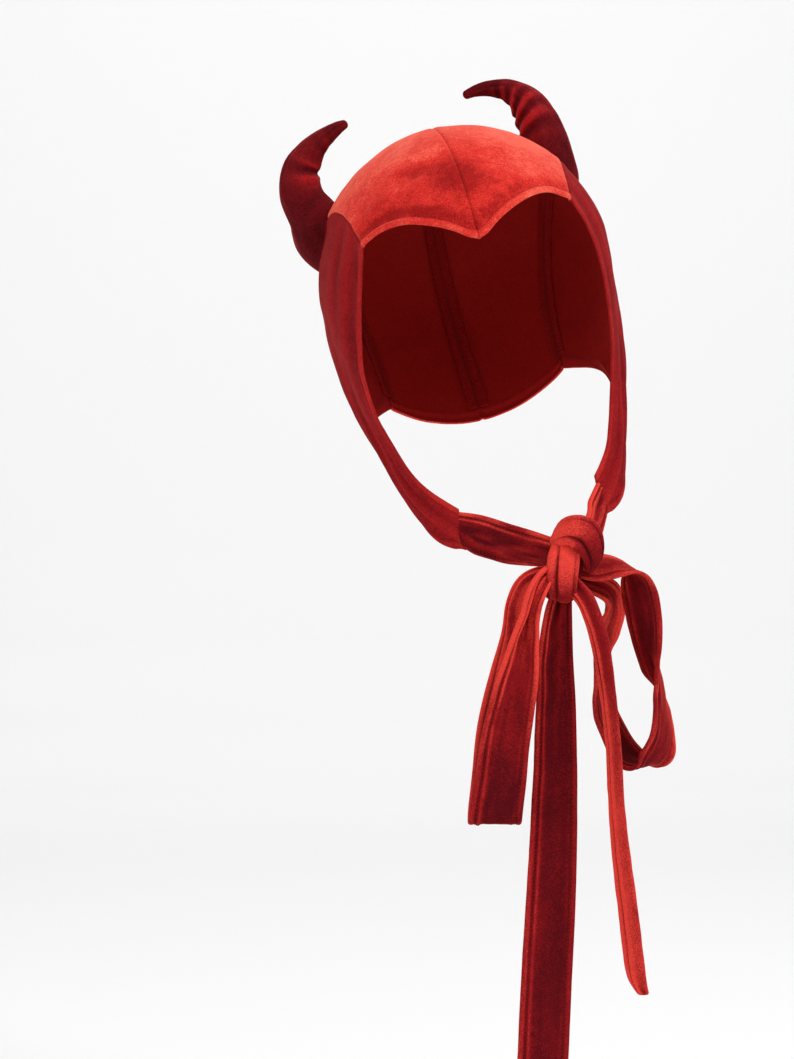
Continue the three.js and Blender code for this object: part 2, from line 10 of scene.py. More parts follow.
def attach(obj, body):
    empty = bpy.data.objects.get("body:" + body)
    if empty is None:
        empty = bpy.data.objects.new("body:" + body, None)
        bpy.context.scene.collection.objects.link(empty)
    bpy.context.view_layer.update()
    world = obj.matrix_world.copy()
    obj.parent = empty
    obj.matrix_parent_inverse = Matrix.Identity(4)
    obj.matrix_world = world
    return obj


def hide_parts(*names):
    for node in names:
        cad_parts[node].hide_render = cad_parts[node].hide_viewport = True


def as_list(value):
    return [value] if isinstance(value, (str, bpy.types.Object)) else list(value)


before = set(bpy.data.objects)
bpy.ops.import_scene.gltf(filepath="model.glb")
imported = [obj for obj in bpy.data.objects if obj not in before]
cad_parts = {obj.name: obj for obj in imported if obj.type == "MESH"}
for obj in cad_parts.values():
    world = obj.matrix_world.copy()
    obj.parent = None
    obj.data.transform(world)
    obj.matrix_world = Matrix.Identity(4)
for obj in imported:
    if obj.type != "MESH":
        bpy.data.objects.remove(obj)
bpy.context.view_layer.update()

# The view: a portrait camera at the photograph's place, level with the bow and a little to
# the left of the middle. The frame is taken to be 794 by 1059 pixels.
mm = 0.001
photo_height = 1059
focal_pixels = 2047
sensor = 36
camera_data = bpy.data.cameras.new("view")
camera_data.sensor_width = sensor
camera_data.lens = focal_pixels / photo_height * sensor
camera = bpy.data.objects.new("view", camera_data)
camera.location = Vector((-95.9, -1094.6, -211.4)) * mm
camera.rotation_euler = (math.radians(90), 0, math.radians(-4.1))
bpy.context.scene.collection.objects.link(camera)
bpy.context.scene.camera = camera
bpy.context.scene.view_settings.view_transform = "Standard"

# The room: a pale floor that sweeps up into a pale wall, and broad soft light: the strongest
# from the upper right, a weaker one from the left, and one that brightens the wall.
room_half_width = 3.2
floor_height = -0.62
floor_front = -3.0
wall_depth = 1.9
sweep_radius = 0.35
wall_top = 2.4


def backdrop_place(u, v):
    """A point of the floor, the sweep or the wall, as v goes from the front to the top."""
    arc = sweep_radius * math.pi / 2
    flat = wall_depth - sweep_radius - floor_front
    rise = wall_top - floor_height - sweep_radius
    way = v * (flat + arc + rise)
    x = (2 * u - 1) * room_half_width
    if way < flat:
        return Vector((x, floor_front + way, floor_height))
    if way < flat + arc:
        angle = (way - flat) / sweep_radius
        y = wall_depth - sweep_radius + math.sin(angle) * sweep_radius
        return Vector((x, y, floor_height + sweep_radius * (1 - math.cos(angle))))
    return Vector((x, wall_depth, floor_height + sweep_radius + way - flat - arc))


def finished_mesh(name, bm):
    """The mesh of all that was built, shaded smooth."""
    for face in bm.faces:
        face.smooth = True
    mesh = bpy.data.meshes.new(name)
    bm.to_mesh(mesh)
    bm.free()
    return mesh


def grid_mesh(name, places_u, places_v, place):
    """A mesh whose grid of corners stands where place(u, v) says, with u and v as its UV map."""
    bm = bmesh.new()
    bm.loops.layers.uv.new("UVMap")
    across = len(places_u) - 1
    along = len(places_v) - 1
    bmesh.ops.create_grid(bm, x_segments=across, y_segments=along, size=1, calc_uvs=True)
    for vert in bm.verts:
        u = places_u[round((vert.co.x + 1) / 2 * across)]
        v = places_v[round((vert.co.y + 1) / 2 * along)]
        vert.co = place(u, v)
    return finished_mesh(name, bm)


def even(count):
    return [k / (count - 1) for k in range(count)]


def add_object(name, mesh):
    piece = bpy.data.objects.new(name, mesh)
    bpy.context.scene.collection.objects.link(piece)
    return piece


backdrop = add_object("backdrop", grid_mesh("backdrop", even(3), even(60), backdrop_place))
paper = bpy.data.materials.new("backdrop_paper")
paper.use_nodes = True
paper_inputs = paper.node_tree.nodes["Principled BSDF"].inputs
paper_inputs["Base Color"].default_value = (0.91, 0.91, 0.91, 1)
paper_inputs["Roughness"].default_value = 0.9
backdrop.data.materials.append(paper)

world = bpy.data.worlds.new("room_light")
world.use_nodes = True
world_inputs = world.node_tree.nodes["Background"].inputs
world_inputs["Color"].default_value = (1.0, 1.0, 1.0, 1)
world_inputs["Strength"].default_value = 0.62
bpy.context.scene.world = world


def window(name, place, target, size, power):
    """A soft square light that looks at a target."""
    light = bpy.data.lights.new(name, "AREA")
    light.shape = "SQUARE"
    light.size = size
    light.energy = power
    lamp = bpy.data.objects.new(name, light)
    lamp.location = place
    aim = Vector(target) - Vector(place)
    lamp.rotation_euler = aim.to_track_quat("-Z", "Y").to_euler()
    bpy.context.scene.collection.objects.link(lamp)


window("window_right", (1.2, -1.0, 1.2), (0.0, 0.0, -0.1), 0.9, 24)
window("window_left", (-1.5, -0.9, 0.7), (0.0, 0.0, -0.2), 1.0, 10)
window("window_wall", (0.0, 0.6, 2.1), (0.0, 1.7, 0.2), 1.6, 9)

# The velvet: a knitted ground with a short pile that lies in soft patches, lighter where it
# is brushed up and darker where it is pressed. Each piece also adds painted light and shade
# through its nap-and-painted-light values, and painted shade darkens its grooves, seams and
# creases. Every velvet of the bonnet shares this effect.
pile_group = bpy.data.node_groups.new("velvet_pile", "ShaderNodeTree")
for socket_name, kind, way in (
    ("Pressed And Shaded", "Color", "INPUT"),
    ("Ground", "Color", "INPUT"),
    ("Brushed And Lit", "Color", "INPUT"),
    ("Patch Scale", "Float", "INPUT"),
    ("Patch Strength", "Float", "INPUT"),
    ("Nap", "Float", "INPUT"),
    ("Painted Groove Shade", "Float", "INPUT"),
    ("Colour", "Color", "OUTPUT"),
    ("Roughness", "Float", "OUTPUT"),
    ("Height", "Float", "OUTPUT"),
):
    pile_group.interface.new_socket(socket_name, in_out=way, socket_type="NodeSocket" + kind)


def feed(tree, entry, value):
    """Set a node's input to a value, or link it to another node's output."""
    if isinstance(value, (int, float, tuple)):
        entry.default_value = value
    else:
        tree.links.new(value, entry)


def node(tree, kind, inputs=None, **settings):
    """A new node with its settings made, and then its inputs fed."""
    made = tree.nodes.new(kind)
    for key, value in settings.items():
        setattr(made, key, value)
    for key, value in (inputs or {}).items():
        feed(tree, made.inputs[key], value)
    return made


def ranged(tree, value, low, high, to_low=0.0, to_high=1.0):
    inputs = {"Value": value, "From Min": low, "From Max": high, "To Min": to_low, "To Max": to_high}
    made = node(tree, "ShaderNodeMapRange", inputs, interpolation_type="SMOOTHSTEP")
    return made.outputs["Result"]


def mixed(tree, share, first, second, blend="MIX"):
    made = node(tree, "ShaderNodeMix", data_type="RGBA", blend_type=blend)
    for key, value in (("Factor", share), ("A", first), ("B", second)):
        kind = "NodeSocketFloatFactor" if key == "Factor" else "NodeSocketColor"
        feed(tree, next(s for s in made.inputs if s.name == key and s.bl_idname == kind), value)
    return next(s for s in made.outputs if s.bl_idname == "NodeSocketColor")


pile_in = node(pile_group, "NodeGroupInput").outputs
place_on_piece = node(pile_group, "ShaderNodeTexCoord").outputs["Object"]


def pile_noise(scale, detail, roughness):
    inputs = {"Vector": place_on_piece, "Scale": scale, "Detail": detail, "Roughness": roughness}
    return node(pile_group, "ShaderNodeTexNoise", inputs).outputs["Fac"]


def pile_maths(operation, first, second):
    made = node(pile_group, "ShaderNodeMath", {0: first, 1: second}, operation=operation)
    return made.outputs["Value"]


patches = pile_noise(pile_in["Patch Scale"], 4, 0.62)
crushed = pile_noise(pile_maths("MULTIPLY", pile_in["Patch Scale"], 7.0), 3, 0.6)
grain = pile_noise(1500.0, 3, 0.75)
fibres = pile_noise(2600.0, 2, 0.7)
lie = pile_maths("ADD", pile_maths("MULTIPLY", patches, 0.65), pile_maths("MULTIPLY", crushed, 0.35))
lie = pile_maths("MULTIPLY", pile_maths("SUBTRACT", lie, 0.5), pile_in["Patch Strength"])
# Painted light and shade: each piece's lighter and darker places are added to how the pile lies.
lie = pile_maths("ADD", lie, pile_in["Nap"])
lie = pile_maths("ADD", lie, pile_maths("MULTIPLY", pile_maths("SUBTRACT", grain, 0.5), 0.8))
ground_share = ranged(pile_group, lie, 0.0, 0.5)
light_share = ranged(pile_group, lie, 0.45, 1.0)
pile_colour = mixed(pile_group, ground_share, pile_in["Pressed And Shaded"], pile_in["Ground"])
pile_colour = mixed(pile_group, light_share, pile_colour, pile_in["Brushed And Lit"])
speckle = ranged(pile_group, grain, 0.28, 0.74, 0.76, 1.26)
pile_colour = mixed(pile_group, 1.0, pile_colour, speckle, "MULTIPLY")
# Painted shade: grooves, seams and creases are darkened towards near black.
groove_shade = pile_maths("MULTIPLY", pile_in["Painted Groove Shade"], 0.5)
pile_colour = mixed(pile_group, groove_shade, pile_colour, (0.05, 0.004, 0.006, 1))
relief = pile_maths("ADD", pile_maths("MULTIPLY", fibres, 0.35), pile_maths("MULTIPLY", grain, 0.7))
relief = pile_maths("ADD", relief, pile_maths("MULTIPLY", crushed, 0.8))
node(pile_group, "NodeGroupOutput", {
    "Colour": pile_colour,
    "Roughness": ranged(pile_group, lie, 0.1, 0.9, 0.95, 0.68),
    "Height": relief,
})


def linear(red, green, blue):
    """A colour as it looks on a screen, from 0 to 1, as the shader's linear one."""
    def one(value):
        return value / 12.92 if value <= 0.04045 else ((value + 0.055) / 1.055) ** 2.4
    return (one(red), one(green), one(blue), 1)


def velvet(name, pressed_and_shaded, ground, brushed_and_lit, rim, patch_scale, patch_strength, sheen, bump):
    """A velvet finish from its pressed-and-shaded, plain and brushed-and-lit colours, with a painted sheen
    of the rim colour where the surface turns away from the view.
    """
    material = bpy.data.materials.new(name)
    material.use_nodes = True
    tree = material.node_tree
    pile = node(tree, "ShaderNodeGroup", {
        "Pressed And Shaded": linear(*pressed_and_shaded),
        "Ground": linear(*ground),
        "Brushed And Lit": linear(*brushed_and_lit),
        "Patch Scale": patch_scale,
        "Patch Strength": patch_strength,
        "Nap": node(tree, "ShaderNodeAttribute", attribute_name="nap").outputs["Fac"],
        "Painted Groove Shade": node(tree, "ShaderNodeAttribute", attribute_name="painted_groove_shade").outputs["Fac"],
    }, node_tree=pile_group).outputs
    # Painted sheen: the rim colour is mixed into the base colour where the surface turns away from the view,
    # paler at the silhouette.
    facing = node(tree, "ShaderNodeLayerWeight", {"Blend": 0.4}).outputs["Facing"]
    painted_rim_sheen = ranged(tree, facing, 0.35, 1.0, 0.0, 0.5)
    raised = node(tree, "ShaderNodeBump", {"Strength": bump, "Distance": 0.5 * mm, "Height": pile["Height"]})
    for key, value in (
        ("Base Color", mixed(tree, painted_rim_sheen, pile["Colour"], linear(*rim))),
        ("Roughness", pile["Roughness"]),
        ("Normal", raised.outputs["Normal"]),
        ("Sheen Weight", sheen),
        ("Sheen Roughness", 0.35),
        ("Sheen Tint", linear(*rim)),
        ("Specular IOR Level", 0.1),
    ):
        feed(tree, tree.nodes["Principled BSDF"].inputs[key], value)
    return material


# The crown: two velvet panels sewn on a seam over the middle of the head, from the widow's
# peak to the nape. Both ends are folded under, and the front one is topstitched. The panels
# are stretched over the head, with soft dents where the pile and the cloth give.
cloth_wall = 2
seam_gap = -0.9
hood_lean = math.radians(13.5)
head_half_width = 77
head_half_depth = 93
head_above = 77.5
head_below = 136
nape_tuck_share = 0.24
nape_tuck_depth = 100
nape_turn = 224
arc_radius = 88
ripple_radius = 90
hem_width = 4.0
hem_pitch = 2.2
hem_thread = 0.22
stitch_share = 0.62
above_cloth = 0.05


def table(columns, rows):
    """Rows of numbers as rows with named columns, each with its place in the table."""
    names = columns.split()
    return [{"index": k, **dict(zip(names, row))} for k, row in enumerate(rows)]


crown_seam = table("turn side", (
    (16.7, 39.2),
    (36, 43.5),
    (62, 50),
    (90, 54.5),
    (130, 51),
    (180, 41),
    (224, 31),
))
crown_front = table("side turn", (
    (0, 4.2),
    (3, 5.4),
    (6, 7.8),
    (10, 10.5),
    (15, 13.3),
    (20, 15.7),
    (25, 17.4),
    (30, 18.1),
    (35, 17.6),
    (39.2, 16.7),
))
crown_dents = table("turn side depth reach_turn reach_side", (
    (36, -12, 2.2, 5, 7),
    (29, -7, 1.4, 5, 4),
    (30, 10, 1.5, 8, 6),
    (23.5, -25, 1.3, 3, 12),
    (29, -27, -1.0, 4, 10),
    (60, -22, 1.5, 12, 8),
    (50, 30, 1.3, 9, 7),
    (42, 20, -0.9, 9, 6),
))


def column(rows, by, name, at):
    """The smooth value of one column of a table, at a place along another column."""
    last = len(rows) - 1
    i = 0
    while i < last - 1 and at > rows[i + 1][by]:
        i += 1

    def slope(k):
        before = rows[max(k - 1, 0)]
        after = rows[min(k + 1, last)]
        return (after[name] - before[name]) / (after[by] - before[by])

    span = rows[i + 1][by] - rows[i][by]
    t = min(max((at - rows[i][by]) / span, 0), 1)
    ease = t * t * (3 - 2 * t)
    lead = t * (1 - t) * (1 - t) * span * slope(i)
    tail = t * t * (t - 1) * span * slope(i + 1)
    return rows[i][name] * (1 - ease) + rows[i + 1][name] * ease + lead + tail


def value_at(rows, name, at):
    """The value of one column at a place counted in rows, such as 2.5 between the third and fourth."""
    return column(rows, "index", name, at)


def smooth_step(value, low, high):
    t = min(max((value - low) / (high - low), 0), 1)
    return t * t * (3 - 2 * t)


def bell(distance, reach):
    return math.exp(-((distance / reach) ** 2))


def head_direction(turn, side):
    across = math.cos(side)
    return Vector((math.sin(side), -math.cos(turn) * across, math.sin(turn) * across))


def head_radius(direction, off):
    tall = head_above if direction.z > 0 else head_below
    x = direction.x / (head_half_width + off)
    y = direction.y / (head_half_depth + off)
    z = direction.z / (tall + off)
    return 1 / math.sqrt(x * x + y * y + z * z)


def nape_scale(z):
    return 1 - nape_tuck_share * smooth_step(-z, 0, nape_tuck_depth)


lean_matrix = Matrix.Rotation(-hood_lean, 3, "Y")


def leaned(point):
    """A point of the upright hood, in millimetres, as the leaning hood's point in metres."""
    return lean_matrix @ point * mm


def from_centre(point):
    y = point.y * nape_scale(point.z) if point.y > 0 else point.y
    return Vector((point.x, y, point.z - head_above))


def ripple(point, size, height):
    """Soft unevenness of cloth, in millimetres, from a place in millimetres."""
    return noise.noise(Vector(point) / size) * height


def stepped(length, even_step):
    """Places from 0 to 1 along a length in millimetres, close together at the sewn ends."""
    close = [0, 0.7, 1.4, 2.2, 3.0, 3.8, 4.6, 5.6, 7.0]
    end = length - close[-1]
    count = max(2, round((end - close[-1]) / even_step))
    middle = [close[-1] + (end - close[-1]) * (k + 1) / count for k in range(count)]
    return [step / length for step in close + middle + [length - step for step in reversed(close[:-1])]]


def hem_relief(distance):
    """The folded hem: a soft roll at the edge, a stitched groove behind it."""
    across = (distance - hem_width / 2) / (hem_width / 2 + 0.1)
    roll = 0.75 * math.sqrt(1 - across * across) if abs(across) < 1 else 0
    return roll - 0.65 * bell(distance - hem_width - 0.2, 0.65)


def seam_relief(distance, along):
    """A sewn seam: the cloth dips into it, and puckers a little beside it."""
    swell = 0.6 + 0.4 * math.sin(along * 0.9) * math.sin(along * 0.23 + 1)
    return 0.35 * bell(distance - 2.8, 2.0) * swell - 1.0 * bell(distance, 0.75)


def crown_angles(hand, u, v):
    """The two angles of a place on a crown panel, with its distances from the panel's edges."""
    inset = math.degrees(seam_gap / 2 / head_half_width)
    start = column(crown_front, "side", "turn", crown_seam[0]["side"] * u)
    turn = start + (nape_turn - start) * v
    seam_side = column(crown_seam, "turn", "side", max(turn, crown_seam[0]["turn"]))
    side = inset + (seam_side - 2 * inset) * u
    angles = {
        "front": turn - start,
        "nape": nape_turn - turn,
        "middle": side,
        "seam": seam_side - side,
        "along": turn,
    }
    ways = {key: math.radians(angle) * arc_radius for key, angle in angles.items()}
    return turn, hand * side, ways


def crown_point(hand, u, v, above=0.0):
    turn, side, ways = crown_angles(hand, u, v)
    dent = sum(
        d["depth"] * bell(turn - d["turn"], d["reach_turn"]) * bell(side - d["side"], d["reach_side"])
        for d in crown_dents
    )
    direction = head_direction(math.radians(turn), math.radians(side))
    flat = direction * ripple_radius
    lift = cloth_wall / 2 - dent + above
    lift += hem_relief(ways["front"]) + hem_relief(ways["nape"])
    lift += seam_relief(ways["middle"], ways["along"]) + seam_relief(ways["seam"], ways["along"])
    calm = smooth_step(ways["middle"], 0, 8) * smooth_step(ways["seam"], 0, 6)
    lift += calm * (ripple(flat, 24, 0.8) + ripple(flat, 9, 0.22))
    return leaned(from_centre(direction * head_radius(direction, lift)))


def refine(piece):
    """Round a piece's surface off by one level of finer faces."""
    fine = piece.modifiers.new("fine", "SUBSURF")
    fine.levels = 1
    fine.render_levels = 1


def cloth_panel(name, place, places_u, places_v, marks, material, backing):
    """A panel of cloth with its wall and its marks, with its right side away from the head."""
    mesh = grid_mesh(name, places_u, places_v, place)
    columns = len(places_u)
    for key in ("nap", "painted_groove_shade"):
        mesh.attributes.new(key, "FLOAT", "POINT")
    for k in range(len(mesh.vertices)):
        nap, painted_groove_shade = marks(places_u[k % columns], places_v[k // columns])
        mesh.attributes["nap"].data[k].value = nap
        mesh.attributes["painted_groove_shade"].data[k].value = painted_groove_shade
    middle = mesh.polygons[len(mesh.polygons) // 2]
    if middle.normal.dot(middle.center - leaned(Vector((0, 0, -head_above)))) < 0:
        mesh.flip_normals()
    piece = add_object(name, mesh)
    mesh.materials.append(material)
    mesh.materials.append(backing)
    wall = piece.modifiers.new("wall", "SOLIDIFY")
    wall.thickness = (cloth_wall - 0.3) * mm
    wall.offset = 0
    wall.material_offset = 1
    refine(piece)
    return piece


# The crown's copy of the velvet, lighter than the others: its colours paint the light that falls on the top
# of the head.
crown_velvet = velvet(
    "crown_velvet",
    pressed_and_shaded=(0.6, 0.075, 0.075),
    ground=(0.82, 0.175, 0.145),
    brushed_and_lit=(0.96, 0.39, 0.31),
    rim=(0.95, 0.42, 0.34),
    patch_scale=44.0,
    patch_strength=1.5,
    sheen=0.3,
    bump=0.8,
)
velvet_back = velvet(
    "velvet_back",
    pressed_and_shaded=(0.5, 0.05, 0.05),
    ground=(0.6, 0.08, 0.07),
    brushed_and_lit=(0.68, 0.12, 0.1),
    rim=(0.66, 0.14, 0.12),
    patch_scale=30.0,
    patch_strength=0.5,
    sheen=0.1,
    bump=0.35,
)
crown_width = 80
crown_length = 310
across_step = 2.6
along_step = 2.8


def crown_marks(hand):
    def marks(u, v):
        turn, side, ways = crown_angles(hand, u, v)
        # Painted light: lighter over the top of the head, and towards the right on the right panel.
        nap = 0.48 + 0.24 * smooth_step(turn, 32, 70) * (1 - 0.9 * smooth_step(turn, 90, 135))
        nap += 0.2 * smooth_step(side, 6, 26) * (1 - smooth_step(turn, 90, 135))
        # Painted shadow: dark patches in and beside the front dents and a dark band above the front hem,
        # with a painted highlight just behind the deepest dent.
        nap -= 0.46 * bell(turn - 26, 9) * bell(side + 1, 13)
        nap -= (0.28 + 0.16 * bell(side + 20, 14)) * bell(ways["front"] - 8, 4)
        nap -= 0.34 * bell(turn - 37, 4) * bell(side + 13, 7)
        nap += 0.2 * bell(turn - 43, 3) * bell(side + 12, 8)
        # Painted highlight on the rolled front hem.
        nap += 0.12 * (1 - smooth_step(ways["front"], 2.6, 4.2))
        # Painted shade in the seam grooves and the hem's stitched groove.
        painted_groove_shade = 0.5 * bell(ways["middle"], 0.6) + 0.7 * bell(ways["seam"], 0.8)
        return nap, min(1, painted_groove_shade + 0.85 * bell(ways["front"] - hem_width - 0.2, 0.7))
    return marks


hood_panels = []
for name, hand in (("crown_left", -1), ("crown_right", 1)):
    panel = cloth_panel(
        name + "_velvet",
        lambda u, v, hand=hand: crown_point(hand, u, v),
        stepped(crown_width, across_step),
        stepped(crown_length, along_step),
        crown_marks(hand),
        crown_velvet,
        velvet_back,
    )
    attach(panel, "root")
    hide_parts(name)
    hood_panels.append(panel)

thread = velvet(
    "red_thread",
    pressed_and_shaded=(0.4, 0.03, 0.03),
    ground=(0.6, 0.08, 0.07),
    brushed_and_lit=(0.8, 0.18, 0.14),
    rim=(0.8, 0.22, 0.17),
    patch_scale=60.0,
    patch_strength=0.5,
    sheen=0.1,
    bump=0.1,
)


def sewn_line(name, ends, half_width):
    """Small stitches, each a soft bead of thread drawn out between its two ends."""
    bm = bmesh.new()
    nap = bm.verts.layers.float.new("nap")
    for start, end in ends:
        lie = (end - start).to_track_quat("X", "Z").to_matrix().to_4x4()
        size = Matrix.Diagonal(((end - start).length / 2, half_width * mm, half_width * mm, 1))
        place = Matrix.Translation((start + end) / 2) @ lie @ size
        made = bmesh.ops.create_icosphere(bm, subdivisions=1, radius=1, matrix=place)
        for vert in made["verts"]:
            vert[nap] = 0.5
    mesh = finished_mesh(name, bm)
    mesh.materials.append(thread)
    piece = add_object(name, mesh)
    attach(piece, "root")
    return piece


def line_of_stitches(place, count):
    """The ends of the hem's stitches along place(0 to 1), found in a number of short steps."""
    points = [place(k / count) for k in range(count + 1)]
    ends = []
    run = 0
    for a, b in zip(points, points[1:]):
        run += (b - a).length / mm
        if run >= hem_pitch:
            ends.append((b, b + (b - a).normalized() * hem_pitch * stitch_share * mm))
            run = 0
    return ends


def crown_hem_place(hand, t):
    """A place on a crown panel's front hem stitching, from the middle to the side seam."""
    u = 0.015 + 0.97 * t
    turn_start = crown_angles(hand, u, 0)[0]
    v = math.degrees((hem_width + 0.2) / arc_radius) / (nape_turn - turn_start)
    return crown_point(hand, u, v, cloth_wall / 2 + above_cloth)


crown_hem_ends = []
for hand in (-1, 1):
    crown_hem_ends += line_of_stitches(lambda t, h=hand: crown_hem_place(h, t), 700)
crown_hem = sewn_line("crown_hem_stitches", crown_hem_ends, hem_thread)

# Inside, the seam allowances lie pressed flat to both sides of each crown seam, overlocked
# along their cut edges.
allowance = 5.5
allowance_thickness = 0.6
overlock_pitch = 2.6
overlock_thread = 0.2
overlock_lift = 0.4


def allowance_place(hand, u, v, above=0.0):
    """A place on the allowance of a side seam, or of the middle seam where hand is 0."""
    away = (2 * u - 1) * allowance
    way = 0.012 + 0.976 * v
    side = hand if hand else (-1 if away < 0 else 1)
    ways = crown_angles(side, 0.5, way)[2]
    width = ways["middle"] + ways["seam"]
    share = 1 + away / width if hand else abs(away) / width
    lift = 0.5 * bell(away, 0.8) + 0.5 * ripple(Vector((away, way * 300, 7)), 9, 1)
    return crown_point(side, share, way, -cloth_wall - 0.75 - above + 0.3 * lift)


def allowance_marks(u, v):
    """The nap, and the painted shade of the seam's groove along the middle of the band."""
    return 0.2, 0.9 * bell((2 * u - 1) * allowance, 0.9) if abs(u - 0.5) < 0.2 else 0


bands = {}
for name, hand in (("middle_allowance", 0), ("left_allowance", -1), ("right_allowance", 1)):
    band = cloth_panel(
        name,
        lambda u, v, hand=hand: allowance_place(hand, u, v),
        even(9),
        even(120),
        allowance_marks,
        velvet_back,
        velvet_back,
    )
    band.modifiers["wall"].thickness = allowance_thickness * mm
    ends = []
    count = round(crown_length / overlock_pitch)
    for edge, inner in ((0.02, 0.3), (0.98, 0.7)):
        for k in range(count):
            cut_start = allowance_place(hand, edge, (k + 0.1) / count, overlock_lift)
            needle = allowance_place(hand, inner, (k + 0.5) / count, overlock_lift)
            cut_end = allowance_place(hand, edge, (k + 0.9) / count, overlock_lift)
            ends += [(cut_start, needle), (needle, cut_end)]
    overlock = sewn_line(name + "_overlock", ends, overlock_thread)
    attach(band, "root")
    bands[name] = [band, overlock]

sewn_to_left = bands["left_allowance"] + bands["middle_allowance"] + [crown_hem]
for panel, extras in zip(hood_panels, (sewn_to_left, bands["right_allowance"])):
    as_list(extras)

# The ear panels: velvet from the crown seam past the ear and along the jaw to a rounded chin
# flap, in a darker copy of the velvet whose colours paint the shade on the sides of the head.
# The face and jaw edges are folded and topstitched, and the pull of the tie draws long soft
# folds down the panel.
face_edge = table("z left right y", (
    (-58.2, 54.8, 54.8, -64.3),
    (-72, 58.4, 60.5, -60),
    (-89, 62.5, 64, -56),
    (-105, 66, 64.6, -52),
    (-119, 67.8, 63.2, -49),
    (-134, 67, 61, -46),
    (-147, 64.6, 58, -44),
    (-158, 61, 55, -43),
    (-173, 55.6, 50.2, -43),
    (-185, 48, 45.5, -44),
    (-198, 36, 36.5, -46),
))
jaw_edge = table("way x y z", (
    (0, 50, 56.5, -146),
    (0.2, 62, 30, -149),
    (0.38, 64.5, 8, -155),
    (0.54, 62, -8, -168),
    (0.7, 57.5, -20, -187),
    (0.82, 53.5, -31, -203),
    (0.91, 48, -39, -213.5),
    (1, 37, -44, -219.5),
))
fold_count = 2.5
fold_height = 1.4
fold_from = 0.3
fold_to = 0.95
panel_top = 290
panel_end = 24
panel_drop = 165
drop_step = 1.9


def panel_width(v):
    """The width of an ear panel in millimetres, at v from the seam down to the chin."""
    return panel_top + (panel_end - panel_top) * math.sqrt(v)


def gather_wave(from_face, drop, shift=0):
    """The soft gathers that run down the panel beside the face edge, from -1 to 1."""
    return math.sin(from_face * 0.36 + 1.4 * math.sin(drop * 0.04) + shift)


def to_centre(x, y, z):
    z += head_above
    return Vector((x, y / nape_scale(z) if y > 0 else y, z))


def side_edges(hand):
    """The four edges of an ear panel, each as a function from 0 to 1."""
    face = "left" if hand < 0 else "right"
    first = crown_seam[0]["turn"]
    inset = math.degrees(seam_gap / 2 / head_half_width)

    def seam_at(u):
        turn = first + (nape_turn - first) * u
        side = column(crown_seam, "turn", "side", turn) + inset
        direction = head_direction(math.radians(turn), math.radians(hand * side))
        return direction * head_radius(direction, cloth_wall / 2)

    def face_at(v):
        at = v * (len(face_edge) - 1)
        x = hand * value_at(face_edge, face, at)
        return to_centre(x, value_at(face_edge, "y", at), value_at(face_edge, "z", at))

    def jaw_at(v):
        x = hand * column(jaw_edge, "way", "x", v)
        return to_centre(x, column(jaw_edge, "way", "y", v), column(jaw_edge, "way", "z", v))

    def chin_at(u):
        return face_at(1).lerp(jaw_at(1), u)

    return seam_at, face_at, jaw_at, chin_at


def height_over_head(point):
    return point.length / head_radius(point.normalized(), cloth_wall / 2)


def side_surface(hand):
    """The point of an ear panel for u from the face edge back and v from the seam down."""
    seam_at, face_at, jaw_at, chin_at = side_edges(hand)
    start = seam_at(0)
    end = seam_at(1)
    face_end = face_at(1)
    jaw_end = jaw_at(1)
    face_pull = face_at(0) - start
    jaw_pull = jaw_at(0) - end
    known = {}

    def remembered(name, edge, at):
        key = (name, round(at, 6))
        if key not in known:
            point = edge(at)
            known[key] = (point, height_over_head(point))
        return known[key]

    def faced(v):
        return face_at(v) + face_pull * (v - 1)

    def jawed(v):
        return jaw_at(v) + jaw_pull * (v - 1)

    corners = [(p, height_over_head(p)) for p in (start, end, face_end, jaw_end)]

    def place(u, v, above=0.0):
        sides = (
            (remembered("seam", seam_at, u), 1 - v),
            (remembered("chin", chin_at, u), v),
            (remembered("face", faced, v), 1 - u),
            (remembered("jaw", jawed, v), u),
            (corners[0], -(1 - u) * (1 - v)),
            (corners[1], -u * (1 - v)),
            (corners[2], -(1 - u) * v),
            (corners[3], -u * v),
        )
        direction = Vector((0, 0, 0))
        over = 0
        for (point, high), share in sides:
            direction += point * share
            over += high * share
        direction.normalize()
        width = panel_width(v)
        drop = panel_drop * v
        from_face = u * width
        from_jaw = (1 - u) * width
        spread = min(max((v - fold_from) / (fold_to - fold_from), 0), 1)
        fold = fold_height * math.sin(math.pi * spread) * math.sin(math.pi * u)
        lift = fold * math.sin(2 * math.pi * fold_count * u)
        hems = hem_relief(from_face) + hem_relief(from_jaw)
        lift += hems * smooth_step(panel_drop - drop, 0, 7) + seam_relief(drop, from_face)
        inner = smooth_step(min(from_face, from_jaw), 0.5, 6)
        lift += 0.9 * seam_relief(panel_drop - drop, from_face) * inner
        near_face = smooth_step(from_face, 4, 9) * (1 - smooth_step(from_face, 22, 52))
        lift += 0.9 * gather_wave(from_face, drop) * bell(drop - 20, 45) * near_face
        pull = math.sin(from_face * 0.62 + 1.2 + math.sin(drop * 0.05)) * smooth_step(v, 0.5, 0.75)
        lift += 0.8 * pull * smooth_step(from_face, hem_width, hem_width + 3) * math.sin(math.pi * u)
        calm = smooth_step(drop, 0, 6)
        flat = direction * ripple_radius
        lift += calm * (ripple(flat, 22, 0.9) + ripple(flat, 8, 0.2)) + above
        radius = head_radius(direction, cloth_wall / 2) * over
        return leaned(from_centre(direction * (radius + lift)))

    return place


